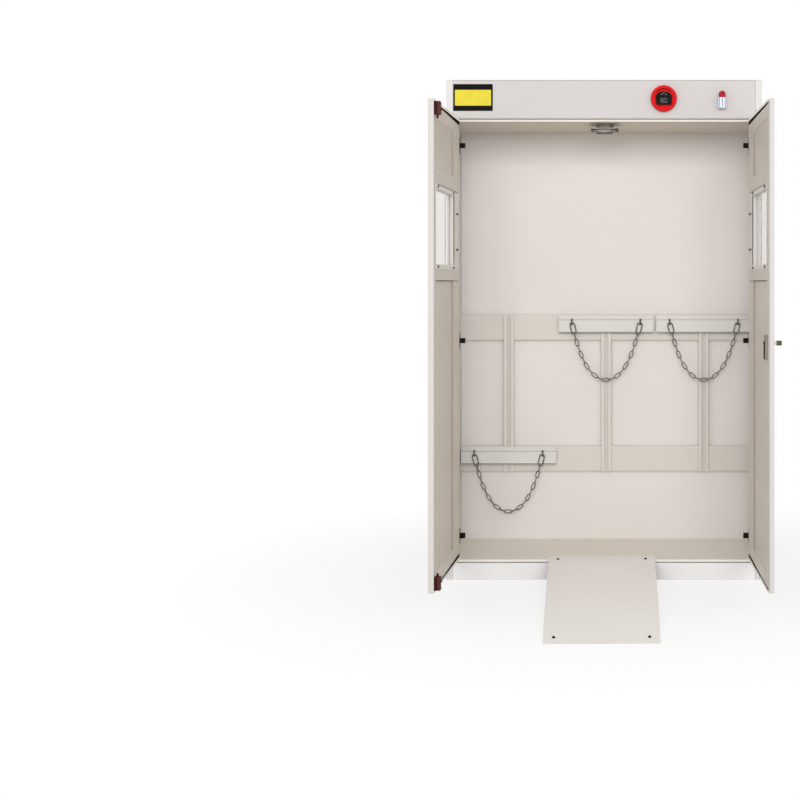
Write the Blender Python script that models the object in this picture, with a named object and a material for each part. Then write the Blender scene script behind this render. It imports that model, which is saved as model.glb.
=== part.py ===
"""Gas cylinder cabinet of folded sheet steel: two doors, three bays with chains, and a loading ramp.

Metres. X runs to the right, Y to the back and Z up, from the middle of the footprint on the ground.
The left side is modelled, and the right side is its mirror image.
"""
import math

import bmesh
import bpy
from mathutils import Matrix, Vector

# Sheet metal and clearances
SHEET = 0.0012
BEND = 0.0025
SEAM = 0.0003
RUNNING_GAP = 0.0005
OVERRUN = 0.002

# Cabinet
CABINET_WIDTH = 1.200
CABINET_DEPTH = 0.450
CABINET_HEIGHT = 1.900
STILE_WIDTH = 0.025
STILE_RETURN = 0.0205
REAR_FLANGE = 0.020
BACK_RECESS = 0.025
HEADER_HEIGHT = 0.147
CEILING_LIP = 0.009
FLOOR_HEIGHT = 0.0765
FLOOR_LIP = 0.009
KICK_HEIGHT = 0.064
KICK_RETURN = 0.015
BASE_FLANGE = 0.025

# Exhaust slots in the top panel
SLOT_COUNT = 7
SLOT_LENGTH = 0.090
SLOT_WIDTH = 0.006
SLOT_PITCH = 0.014

# Crossbars, guide tracks and brackets
RAIL_HEIGHT = 0.115
RAIL_DEPTH = 0.015
RAIL_FOOT = 0.010
LOWER_RAIL_BOTTOM = 0.346
UPPER_RAIL_BOTTOM = 0.884
TRACK_WIDTH = 0.040
TRACK_DEPTH = 0.012
TRACK_SLOT = 0.016
BAY_COUNT = 3
BRACKET_GAP = 0.0112
BRACKET_BAND = 0.0175
BRACKET_FACE = 0.0545
BRACKET_STEP = 0.008
BRACKET_LIP = 0.008
BRACKET_STANDOFF = 0.003
BRACKET_BELOW_RAIL_TOP = 0.003
SLIDER_HEIGHT = 0.060

# Chains and the eyes that hold them
EYE_SPREAD = 0.280
EYE_BELOW_TOP = 0.027
EYE_BORE = 0.006
EYE_WIRE = 0.0025
CHAIN_LENGTH = 0.580
LINK_COUNT = 19
LINK_WIDTH = 0.0165
LINK_WIRE = 0.0021
RING_LENGTH = 0.052
RING_WIDTH = 0.024
RING_WIRE = 0.0025
LINK_BITE = 0.0009
CATENARY_SEARCH_FACTOR = 20
CATENARY_SEARCH_STEPS = 60

# Doors
DOOR_THICKNESS = 0.020
DOOR_GAP = 0.0030
HINGE_GAP = 0.0036
LEFT_OPEN_ANGLE = math.radians(91.3)
RIGHT_OPEN_ANGLE = math.radians(91.8)
INNER_SKIN_STOP = 0.015
BORDER_HINGE_SIDE = 0.148
BORDER_FREE_SIDE = 0.045
PRESS_DEPTH = 0.006
PRESS_SLOPE = 0.004
UPPER_PRESS_ABOVE_WINDOW = 0.068
UPPER_PRESS_MARGIN = 0.045
LOWER_PRESS_BELOW_WINDOW = 0.055
LOWER_PRESS_MARGIN = 0.045

# Window
WINDOW_FROM_HINGE = 0.148
WINDOW_FROM_FREE_EDGE = 0.041
WINDOW_BELOW_DOOR_TOP = 0.300
WINDOW_HEIGHT = 0.258
GLASS_THICKNESS = 0.005
GLASS_OVERLAP = 0.012
FRAME_HINGE_SIDE = 0.114
FRAME_FREE_SIDE = 0.014
FRAME_RAIL = 0.016
FRAME_CLEARANCE = 0.0025

# Hinges
HINGE_HEIGHT = 0.062
BARREL_RADIUS = 0.0035
PIN_RADIUS = 0.0018
BARREL_CLEARANCE = 0.0005
HINGE_BELOW_DOOR_TOP = 0.097
HINGE_ABOVE_DOOR_BOTTOM = 0.083
HINGE_WING = 0.024
STOP_BLOCK_HEIGHT = 0.019
STOP_BLOCK_WIDTH = 0.019
STOP_BLOCK_DEPTH = 0.016
BARREL_SIDES = 12

# Surface bolts on the left door
BOLT_FROM_EDGE = 0.020
BOLT_HOUSING_WIDTH = 0.028
BOLT_HOUSING_DEPTH = 0.020
BOLT_HOUSING_HEIGHT = 0.045
BOLT_END_MARGIN = 0.008
BOLT_RADIUS = 0.004
BOLT_TAIL = 0.012
BOLT_TRAVEL = 0.014
BOLT_STUD_RADIUS = 0.0025
BOLT_STUD_REACH = 0.016
BOLT_HOLE_RADIUS = 0.0055

# Lock on the right door
LOCK_FROM_EDGE = 0.040
LOCK_BELOW_WINDOW = 0.2694
KNOB_RADIUS = 0.0085
KNOB_LENGTH = 0.030
KNOB_NECK = 0.012
KNOB_NECK_RADIUS = 0.006
KNOB_WAIST_SHARE = 0.85
SPINDLE_RADIUS = 0.004
KEY_DROP = 0.0526
KEY_PLUG_RADIUS = 0.006
KEY_PLUG_PROUD = 0.002
LOCK_CASE_WIDTH = 0.030
LOCK_CASE_HEIGHT = 0.085
LOCK_CASE_DEPTH = 0.008
LOCK_CASE_RISE = 0.028
CAM_LENGTH = 0.055
CAM_WIDTH = 0.018
CAM_THICKNESS = 0.0025
CAM_CLEARANCE = 0.002

# Ceiling fan
FAN_SIZE = 0.110
FAN_HEIGHT = 0.0205
FAN_FLANGE = 0.003
FAN_BEHIND_FRONT = 0.125
FAN_CORNER = 0.006
FAN_BODY_RADIUS = 0.0343
FAN_BORE_RADIUS = 0.0318
FAN_HUB_RADIUS = 0.0135
FAN_TIP_CLEARANCE = 0.0015
FAN_BLADES = 5
FAN_BLADE_PITCH = math.radians(38)
FAN_BLADE_CHORD = 0.014
FAN_BLADE_THICKNESS = 0.0015
FAN_SPOKES = 3
FAN_SPOKE_WIDTH = 0.005
FAN_MOTOR_HEIGHT = 0.005
GUARD_WIRE = 0.001
GUARD_FLAT_RINGS = 3
GUARD_EAR = 0.003
GUARD_DROP = 0.0105
GUARD_FLAT_RADIUS = 0.030
GUARD_SHOULDER_RADIUS = 0.052

# Alarm instrument, beacon and notice plate on the header
ALARM_RADIUS = 0.050
ALARM_DEPTH = 0.022
ALARM_FACE_RADIUS = 0.039
ALARM_FACE_SINK = 0.004
ALARM_RIM = 0.006
ALARM_FROM_STILE = 0.348
ALARM_BELOW_TOP = 0.072
DISPLAY_WIDTH = 0.061
DISPLAY_HEIGHT = 0.050
DISPLAY_THICKNESS = 0.003
DISPLAY_SHOULDER_SHARE = 0.1
DISPLAY_FOOT_SHARE = 0.8
BEACON_FROM_STILE = 0.1274
BEACON_BASE_RADIUS = 0.0165
BEACON_BASE_HEIGHT = 0.040
BEACON_BELOW_TOP = 0.110
BEACON_LENS_RADIUS = 0.013
BEACON_LENS_HEIGHT = 0.026
BEACON_PAD = 0.003
NOTICE_WIDTH = 0.150
NOTICE_HEIGHT = 0.102
NOTICE_THICKNESS = 0.001
NOTICE_CORNER = 0.002
NOTICE_FROM_STILE = 0.0015
NOTICE_BELOW_TOP = 0.016

# Loading ramp, laid on the floor's front edge a little askew
RAMP_SHEET = 0.0015
RAMP_TONGUE = 0.058
RAMP_TONGUE_OVERHANG = 0.008
RAMP_REACH = 0.920
RAMP_TOP_WIDTH = 0.406
RAMP_FOOT_WIDTH = 0.370
RAMP_FLANGE = 0.010
RAMP_FLANGE_STOP = 0.050
RAMP_HOLE_RADIUS = 0.004
RAMP_HOLE_SPREAD_SHARE = 0.82
RAMP_FOOT_HOLE_SHARE = 0.935
RAMP_SHIFT = -0.0085
RAMP_SKEW = math.radians(1.3)

# Places that follow from the sizes
HALF_WIDTH = CABINET_WIDTH / 2
FRONT = -CABINET_DEPTH / 2
REAR = CABINET_DEPTH / 2
WALL = HALF_WIDTH - SHEET
STILE_EDGE = HALF_WIDTH - STILE_WIDTH
STILE_BACK = FRONT + STILE_RETURN
BACK_FACE = REAR - BACK_RECESS
PANEL_TOP = CABINET_HEIGHT - SHEET - SEAM
HEADER_BOTTOM = CABINET_HEIGHT - HEADER_HEIGHT
CEILING = HEADER_BOTTOM - CEILING_LIP
PANEL_FRONT = STILE_BACK + OVERRUN
DOOR_BOTTOM = FLOOR_HEIGHT + DOOR_GAP
DOOR_TOP = HEADER_BOTTOM - DOOR_GAP
AXIS_X = STILE_EDGE - HINGE_GAP / 2
AXIS_Y = FRONT - BARREL_RADIUS - BARREL_CLEARANCE
DOOR_WIDTH = STILE_EDGE - HINGE_GAP - DOOR_GAP / 2
DOOR_EDGE = HINGE_GAP / 2
DOOR_FACE = BARREL_RADIUS + BARREL_CLEARANCE
DOOR_BACK = DOOR_FACE + DOOR_THICKNESS
RAIL_FACE = BACK_FACE - RAIL_DEPTH
TRACK_FRONT = RAIL_FACE - SEAM - TRACK_DEPTH
BRACKET_BACK = TRACK_FRONT - BRACKET_STANDOFF
BRACKET_FRONT = BRACKET_BACK - SHEET - BRACKET_STEP
BRACKET_HEIGHT = BRACKET_BAND + BRACKET_FACE
BAY_PITCH = 2 * WALL / BAY_COUNT
BRACKET_LENGTH = BAY_PITCH - BRACKET_GAP
EYE_AXIS_Y = BRACKET_FRONT - EYE_BORE - SEAM
WINDOW_WIDTH = DOOR_WIDTH - WINDOW_FROM_HINGE - WINDOW_FROM_FREE_EDGE
WINDOW_TOP = DOOR_TOP - WINDOW_BELOW_DOOR_TOP
WINDOW_BOTTOM = WINDOW_TOP - WINDOW_HEIGHT
UPPER_PRESS_BOTTOM = WINDOW_TOP + UPPER_PRESS_ABOVE_WINDOW
LOWER_PRESS_TOP = WINDOW_BOTTOM - LOWER_PRESS_BELOW_WINDOW
LOCK_KNOB_HEIGHT = WINDOW_BOTTOM - LOCK_BELOW_WINDOW
ALARM_X = STILE_EDGE - ALARM_FROM_STILE
BEACON_X = STILE_EDGE - BEACON_FROM_STILE
BEACON_BASE_BOTTOM = CABINET_HEIGHT - BEACON_BELOW_TOP

FINISHES = {
    "enamel": ((0.72, 0.69, 0.66), 0.42, 0.0),
    "enamel_kick": ((0.79, 0.77, 0.76), 0.42, 0.0),
    "glass": ((0.80, 0.86, 0.88), 0.05, 0.0),
    "black_steel": ((0.035, 0.030, 0.028), 0.45, 0.6),
    "oxide_red": ((0.16, 0.022, 0.018), 0.5, 0.0),
    "zinc": ((0.52, 0.52, 0.52), 0.35, 1.0),
    "chain_steel": ((0.30, 0.31, 0.32), 0.38, 1.0),
    "bronze_knob": ((0.17, 0.145, 0.11), 0.4, 0.7),
    "cast_aluminium": ((0.60, 0.60, 0.59), 0.45, 0.9),
    "black_plastic": ((0.02, 0.02, 0.02), 0.4, 0.0),
    "alarm_red": ((0.75, 0.016, 0.022), 0.3, 0.0),
    "display_black": ((0.012, 0.012, 0.014), 0.12, 0.0),
    "beacon_white": ((0.82, 0.84, 0.86), 0.3, 0.0),
    "beacon_red": ((0.62, 0.012, 0.025), 0.15, 0.0),
    "notice_black": ((0.03, 0.03, 0.028), 0.4, 0.0),
}


def clear_scene():
    """Remove whatever objects the file holds."""
    for obj in list(bpy.data.objects):
        bpy.data.objects.remove(obj, do_unlink=True)


def material(name, finish):
    """A Principled material with the finish's colour, roughness and metallic value."""
    colour, roughness, metallic = FINISHES[finish]
    made = bpy.data.materials.new(name)
    made.use_nodes = True
    shader = made.node_tree.nodes["Principled BSDF"]
    shader.inputs["Base Color"].default_value = (*colour, 1.0)
    shader.inputs["Roughness"].default_value = roughness
    shader.inputs["Metallic"].default_value = metallic
    return made


def new_object(name, bm):
    """Link an object that holds the bmesh's geometry."""
    mesh = bpy.data.meshes.new(name)
    bm.to_mesh(mesh)
    bm.free()
    obj = bpy.data.objects.new(name, mesh)
    bpy.context.collection.objects.link(obj)
    return obj


def settled(obj):
    """The object's evaluated mesh, with its modifiers applied; the object itself is removed."""
    graph = bpy.context.evaluated_depsgraph_get()
    mesh = bpy.data.meshes.new_from_object(obj.evaluated_get(graph))
    bpy.data.objects.remove(obj, do_unlink=True)
    result = bmesh.new()
    result.from_mesh(mesh)
    bpy.data.meshes.remove(mesh)
    return result


def combined(base, others, operation):
    """The base bmesh after one exact Boolean with each of the other bmeshes."""
    body = new_object("base_shape", base)
    tools = []
    for shape in others:
        tool = new_object("tool_shape", shape)
        tools.append(tool)
        step = body.modifiers.new(operation.lower(), "BOOLEAN")
        step.operation = operation
        step.object = tool
    result = settled(body)
    for tool in tools:
        bpy.data.objects.remove(tool, do_unlink=True)
    return result


def cut(base, cutters):
    """The base with the cutters taken away."""
    return combined(base, cutters, "DIFFERENCE")


def joined(base, others):
    """The base and the others as one body."""
    return combined(base, others, "UNION")


def piece(name, bm, finish, parent=None, mirrored=False, origin=(0.0, 0.0, 0.0), smooth=True):
    """A named sub-part. Its origin is moved to the given place, which is under its parent if it has one."""
    bm.transform(Matrix.Translation(-Vector(origin)))
    place = Vector(origin)
    if mirrored:
        bm.transform(Matrix.Scale(-1.0, 4, (1.0, 0.0, 0.0)))
        bmesh.ops.reverse_faces(bm, faces=bm.faces)
        place.x = -place.x
    obj = new_object(name, bm)
    obj.location = place
    obj.parent = parent
    obj.data.materials.clear()
    obj.data.materials.append(material(name, finish))
    if smooth:
        obj.data.shade_smooth()
        obj.data.set_sharp_from_angle(angle=math.radians(35))
    return obj


# The two coordinates that span the plane across each axis, right-handed, and then the axis itself
ACROSS = {"X": "YZX", "Y": "ZXY", "Z": "XYZ"}


def point(axis, u, v, w):
    """A point from its two coordinates across an axis and its place along the axis."""
    coordinates = dict(zip(ACROSS[axis], (u, v, w)))
    return Vector([coordinates[letter] for letter in "XYZ"])


def prism(axis, outline, low, high):
    """A solid with a constant outline, counter-clockwise across the axis."""
    bm = bmesh.new()
    ends = [[bm.verts.new(point(axis, u, v, w)) for u, v in outline] for w in (low, high)]
    count = len(outline)
    bm.faces.new(reversed(ends[0]))
    bm.faces.new(ends[1])
    for i in range(count):
        j = (i + 1) % count
        bm.faces.new((ends[0][i], ends[0][j], ends[1][j], ends[1][i]))
    return bm


def block(low, high):
    """A rectangular solid between two opposite corners."""
    outline = [(low[0], low[1]), (high[0], low[1]), (high[0], high[1]), (low[0], high[1])]
    return prism("Z", outline, low[2], high[2])


def circle(u, v, radius, sides):
    """Points round a circle, counter-clockwise."""
    turns = [2 * math.pi * (i + 0.5) / sides for i in range(sides)]
    return [(u + radius * math.cos(t), v + radius * math.sin(t)) for t in turns]


def rounded(u, v, width, height, corner, steps=4):
    """A rectangle about (u, v) with rounded corners, counter-clockwise."""
    outline = []
    for index, (su, sv) in enumerate([(1, 1), (-1, 1), (-1, -1), (1, -1)]):
        cu = u + su * (width / 2 - corner)
        cv = v + sv * (height / 2 - corner)
        for i in range(steps + 1):
            turn = math.pi / 2 * (index + i / steps)
            outline.append((cu + corner * math.cos(turn), cv + corner * math.sin(turn)))
    return outline


def rod(axis, u, v, radius, low, high, sides=BARREL_SIDES):
    """A round bar along an axis."""
    return prism(axis, circle(u, v, radius, sides), low, high)


def turned(axis, u, v, profile, sides):
    """A solid of revolution; the profile's (radius, height) points climb the outside from axis to axis."""
    bm = bmesh.new()
    rings = []
    for radius, height in profile:
        if radius:
            rings.append([bm.verts.new(point(axis, a, b, height)) for a, b in circle(u, v, radius, sides)])
        else:
            rings.append([bm.verts.new(point(axis, u, v, height))] * sides)
    for low, high in zip(rings, rings[1:]):
        for i in range(sides):
            j = (i + 1) % sides
            corners = [low[i], low[j], high[j], high[i]]
            bm.faces.new(list(dict.fromkeys(corners)))
    return bm


def wire(path, normal, radius, sides=5, closed=True):
    """A round wire along a flat path whose plane has the given normal."""
    bm = bmesh.new()
    normal = Vector(normal).normalized()
    points = [Vector(p) for p in path]
    count = len(points)
    rings = []
    for i, here in enumerate(points):
        before = points[i - 1] if closed or i else here
        after = points[(i + 1) % count] if closed or i < count - 1 else here
        side = (after - before).normalized().cross(normal)
        turns = [2 * math.pi * k / sides for k in range(sides)]
        rings.append([bm.verts.new(here + radius * (math.cos(t) * side + math.sin(t) * normal)) for t in turns])
    for i in range(count if closed else count - 1):
        for k in range(sides):
            m = (k + 1) % sides
            ring, following = rings[i], rings[(i + 1) % count]
            bm.faces.new((ring[k], following[k], following[m], ring[m]))
    if not closed:
        bm.faces.new(rings[0])
        bm.faces.new(reversed(rings[-1]))
    bmesh.ops.recalc_face_normals(bm, faces=bm.faces)
    return bm


def folded(surface, thickness=SHEET, bend=BEND):
    """Give an open surface rounded bends and a sheet's thickness, behind its outer face."""
    obj = new_object("fold_shape", surface)
    rounding = obj.modifiers.new("bends", "BEVEL")
    rounding.width = bend
    rounding.segments = 2
    rounding.limit_method = "ANGLE"
    rounding.angle_limit = math.radians(30)
    skin = obj.modifiers.new("skin", "SOLIDIFY")
    skin.thickness = thickness
    skin.offset = -1.0
    skin.use_even_offset = True
    return settled(obj)


def profile(axis, path, low, high, thickness=SHEET, bend=BEND):
    """A sheet folded along a path across the axis; the metal lies to the left of the path."""
    bm = bmesh.new()
    ends = [[bm.verts.new(point(axis, u, v, w)) for u, v in path] for w in (low, high)]
    for i in range(len(path) - 1):
        bm.faces.new((ends[0][i], ends[0][i + 1], ends[1][i + 1], ends[1][i]))
    return folded(bm, thickness, bend)


def tray(corners, depth, walls=None, thickness=SHEET, bend=BEND):
    """A flat sheet, its corners counter-clockwise seen from outside, with walls down some or all edges."""
    bm = bmesh.new()
    count = len(corners)
    rim = [bm.verts.new(c) for c in corners]
    bm.faces.new(rim)
    feet = {}
    for i in range(count) if walls is None else walls:
        j = (i + 1) % count
        for k in (i, j):
            if k not in feet:
                feet[k] = bm.verts.new(Vector(corners[k]) + Vector(depth))
        bm.faces.new((rim[j], rim[i], feet[i], feet[j]))
    return folded(bm, thickness, bend)


def side_panel(name, mirrored):
    """Side skin with the front stile, its return and the rear flange folded from one sheet."""
    path = [(-HALF_WIDTH + REAR_FLANGE, REAR), (-HALF_WIDTH, REAR), (-HALF_WIDTH, FRONT),
            (-STILE_EDGE, FRONT), (-STILE_EDGE, STILE_BACK)]
    piece(name, profile("Z", path, 0.0, PANEL_TOP), "enamel", mirrored=mirrored)


def rectangle_xy(half_x, near, far, height, up):
    """Corners of a level rectangle, counter-clockwise seen from above or from below."""
    corners = [(-half_x, near, height), (half_x, near, height), (half_x, far, height), (-half_x, far, height)]
    return corners if up else corners[::-1]


def back_panel():
    """Recessed back, a shallow pan whose walls reach the rear flanges."""
    half = WALL - SEAM
    low, high = SHEET + SEAM, PANEL_TOP
    corners = [(-half, BACK_FACE, low), (half, BACK_FACE, low), (half, BACK_FACE, high), (-half, BACK_FACE, high)]
    piece("back_panel", tray(corners, (0.0, BACK_RECESS - BEND, 0.0)), "enamel")


def top_panel():
    """Flat top sheet over the sides, with a row of exhaust slots above the fan."""
    outline = rounded(0.0, 0.0, CABINET_WIDTH, CABINET_DEPTH, BEND)
    sheet = prism("Z", outline, CABINET_HEIGHT - SHEET, CABINET_HEIGHT)
    slots = []
    for i in range(SLOT_COUNT):
        x = (i - (SLOT_COUNT - 1) / 2) * SLOT_PITCH
        slot = rounded(x, FRONT + FAN_BEHIND_FRONT, SLOT_WIDTH, SLOT_LENGTH, SLOT_WIDTH / 2)
        slots.append(prism("Z", slot, CABINET_HEIGHT - SHEET - OVERRUN, CABINET_HEIGHT + OVERRUN))
    piece("top_panel", cut(sheet, slots), "enamel")


def header_fascia():
    """Header front between the stiles, folded back at the top and at the bottom."""
    path = [(STILE_BACK, HEADER_BOTTOM), (FRONT, HEADER_BOTTOM), (FRONT, PANEL_TOP), (STILE_BACK, PANEL_TOP)]
    half = STILE_EDGE - SEAM
    piece("header_fascia", profile("X", path[::-1], -half, half), "enamel")


def bolt_place():
    """Where the surface bolts meet the ceiling and the floor when the left door is shut."""
    return (-AXIS_X + DOOR_EDGE + DOOR_WIDTH - BOLT_FROM_EDGE, AXIS_Y + DOOR_BACK + BOLT_HOUSING_DEPTH / 2)


def ceiling_panel():
    """Ceiling pan with the fan's opening, a bolt hole and a front lip that stops the doors."""
    half = WALL - SEAM
    corners = rectangle_xy(half, PANEL_FRONT, BACK_FACE - SEAM, CEILING, up=False)
    pan = tray(corners, (0.0, 0.0, CEILING_LIP - SEAM))
    low, high = CEILING - OVERRUN, CEILING + OVERRUN + SHEET
    x, y = bolt_place()
    holes = [rod("Z", 0.0, FRONT + FAN_BEHIND_FRONT, FAN_BORE_RADIUS, low, high, sides=32),
             rod("Z", x, y, BOLT_HOLE_RADIUS, low, high)]
    piece("ceiling_panel", cut(pan, holes), "enamel")


def floor_panel():
    """Floor that reaches the front plane between the stiles, with a front lip and a bolt hole."""
    wide, narrow, top = WALL - SEAM, STILE_EDGE - SEAM, FLOOR_HEIGHT
    back = BACK_FACE - SEAM
    corners = [(-wide, back, top), (-wide, PANEL_FRONT, top), (-narrow, PANEL_FRONT, top), (-narrow, FRONT, top),
               (narrow, FRONT, top), (narrow, PANEL_FRONT, top), (wide, PANEL_FRONT, top), (wide, back, top)]
    front_edge = corners.index((-narrow, FRONT, top))
    sheet = tray(corners, (0.0, 0.0, -FLOOR_LIP), walls=[front_edge])
    x, y = bolt_place()
    hole = rod("Z", x, y, BOLT_HOLE_RADIUS, top - SHEET - OVERRUN, top + OVERRUN)
    piece("floor_panel", cut(sheet, [hole]), "enamel")


def kick_plate():
    """Plinth front between the stiles, folded back at both edges."""
    back = FRONT + KICK_RETURN
    path = [(back, KICK_HEIGHT), (FRONT, KICK_HEIGHT), (FRONT, 0.0), (back, 0.0)]
    half = STILE_EDGE - SEAM
    piece("kick_plate", profile("X", path, -half, half), "enamel_kick")


def base_pan():
    """Bottom pan that stands on the ground, its walls turned up."""
    corners = rectangle_xy(WALL - SEAM, PANEL_FRONT, BACK_FACE - SEAM, 0.0, up=False)
    piece("base_pan", tray(corners, (0.0, 0.0, BASE_FLANGE)), "enamel")


def rail(name, bottom):
    """Hollow crossbar on the back panel, with a foot along its lower edge."""
    top = bottom + RAIL_HEIGHT
    wall = BACK_FACE - SEAM
    foot = wall - SHEET
    path = [(wall, top), (RAIL_FACE, top), (RAIL_FACE, bottom + RAIL_FOOT), (foot, bottom + RAIL_FOOT),
            (foot, bottom)]
    half = WALL - SEAM
    piece(name, profile("X", path, -half, half), "enamel")


def guide_track(name, x):
    """Upright channel on the two crossbars, open towards the front."""
    back = RAIL_FACE - SEAM
    side, lip = TRACK_WIDTH / 2, TRACK_SLOT / 2
    path = [(x + lip, TRACK_FRONT), (x + side, TRACK_FRONT), (x + side, back), (x - side, back),
            (x - side, TRACK_FRONT), (x - lip, TRACK_FRONT)]
    low, high = LOWER_RAIL_BOTTOM + RAIL_FOOT, UPPER_RAIL_BOTTOM + RAIL_HEIGHT
    piece(name, profile("Z", path, low, high, bend=SHEET), "enamel")


def eye(x, z):
    """Wire staple on the bracket's face that a chain's end ring hangs in."""
    reach = EYE_BORE + EYE_WIRE
    steps = 6
    arc = [(EYE_AXIS_Y - reach * math.sin(math.pi * i / steps), z + reach * math.cos(math.pi * i / steps))
           for i in range(steps + 1)]
    root = BRACKET_FRONT + SHEET / 2
    path = [(root, z + reach)] + arc + [(root, z - reach)]
    return wire([(x, y, h) for y, h in path], (1.0, 0.0, 0.0), EYE_WIRE, sides=6, closed=False)


def bracket(name, x, rail_bottom):
    """Folded fixing bracket with two eyes, and a slider that runs in the guide track."""
    top = rail_bottom + RAIL_HEIGHT - BRACKET_BELOW_RAIL_TOP
    step, bottom = top - BRACKET_BAND, top - BRACKET_HEIGHT
    rear = BRACKET_BACK - SHEET
    path = [(rear, top), (rear, step), (BRACKET_FRONT, step), (BRACKET_FRONT, bottom),
            (BRACKET_FRONT + BRACKET_LIP, bottom)]
    half = BRACKET_LENGTH / 2
    body = profile("X", path, x - half, x + half, bend=SHEET + SEAM)
    neck = TRACK_SLOT / 2 - RUNNING_GAP
    head = TRACK_WIDTH / 2 - SHEET - RUNNING_GAP
    head_front = TRACK_FRONT + SHEET + RUNNING_GAP
    head_back = RAIL_FACE - SEAM - SHEET - RUNNING_GAP
    low = top - SLIDER_HEIGHT
    slider = joined(block((x - neck, rear + SHEET / 2, low), (x + neck, head_front + SHEET, top - SHEET)),
                    [block((x - head, head_front, low), (x + head, head_back, top - SHEET)),
                     block((x - neck, BRACKET_FRONT + SHEET / 2, low), (x + neck, rear + SHEET, step - SHEET / 2))])
    height = top - EYE_BELOW_TOP
    eyes = [eye(x + side * EYE_SPREAD / 2, height) for side in (-1, 1)]
    piece(name, joined(body, [slider] + eyes), "enamel", origin=(x, BRACKET_FRONT, top))
    return height - EYE_BORE + RING_WIRE + SEAM


def catenary(length, span):
    """Shape factor of a chain of the given length that hangs over the span."""
    low, high = span / CATENARY_SEARCH_FACTOR, span * CATENARY_SEARCH_FACTOR
    for _ in range(CATENARY_SEARCH_STEPS):
        shape = (low + high) / 2
        if 2 * shape * math.sinh(span / (2 * shape)) > length:
            low = shape
        else:
            high = shape
    return shape


def racetrack(length, width, steps):
    """Centre line of a link: two half circles joined by straight sides."""
    radius = width / 2
    reach = length / 2 - radius
    turns = [math.pi * i / steps for i in range(steps + 1)]
    right = [(reach + radius * math.sin(t), radius * math.cos(t)) for t in turns]
    return right + [(-u, -v) for u, v in right]


def hanging_point(along, shape, length):
    """Point of the hanging chain at a distance along it, from its lowest point sideways and up."""
    arc = along - length / 2
    x = shape * math.asinh(arc / shape)
    return Vector((x, 0.0, shape * math.cosh(x / shape)))


def chain(name, x, height):
    """Chain of interlocked links with a long ring at each end, hanging between two eyes."""
    shape = catenary(CHAIN_LENGTH, EYE_SPREAD)
    level = shape * math.cosh(EYE_SPREAD / (2 * shape))
    ring_reach = RING_LENGTH - 2 * RING_WIRE
    hooked = RING_WIRE + LINK_WIRE - LINK_BITE
    linked = 2 * LINK_WIRE - LINK_BITE
    link_reach = (CHAIN_LENGTH - 2 * (ring_reach - hooked) + (LINK_COUNT - 1) * linked) / LINK_COUNT
    spans = [(0.0, ring_reach)]
    for i in range(LINK_COUNT):
        start = ring_reach - hooked + i * (link_reach - linked)
        spans.append((start, start + link_reach))
    spans.append((CHAIN_LENGTH - ring_reach, CHAIN_LENGTH))
    groups = ([], [])
    for i, (start, end) in enumerate(spans):
        a = hanging_point(start, shape, CHAIN_LENGTH)
        b = hanging_point(end, shape, CHAIN_LENGTH)
        is_ring = i in (0, len(spans) - 1)
        reach, width, radius = (ring_reach, RING_WIDTH, RING_WIRE) if is_ring else (
            link_reach, LINK_WIDTH, LINK_WIRE)
        along = (b - a).normalized()
        flat = Vector((0.0, 1.0, 0.0)) if i % 2 == 0 else Vector((0.0, 1.0, 0.0)).cross(along)
        across = flat.cross(along)
        middle = (a + b) / 2 + Vector((x, EYE_AXIS_Y, height - level))
        track = racetrack(reach, width - 2 * radius, 6 if is_ring else 4)
        path = [middle + u * along + v * across for u, v in track]
        groups[i % 2].append(wire(path, flat, radius, sides=5 if is_ring else 4))
    shapes = []
    for group in groups:
        merged = bmesh.new()
        for bm in group:
            part = bpy.data.meshes.new("link")
            bm.to_mesh(part)
            bm.free()
            merged.from_mesh(part)
            bpy.data.meshes.remove(part)
        shapes.append(merged)
    piece(name, joined(shapes[0], shapes[1:]), "chain_steel", origin=(x, EYE_AXIS_Y, height))


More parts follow.
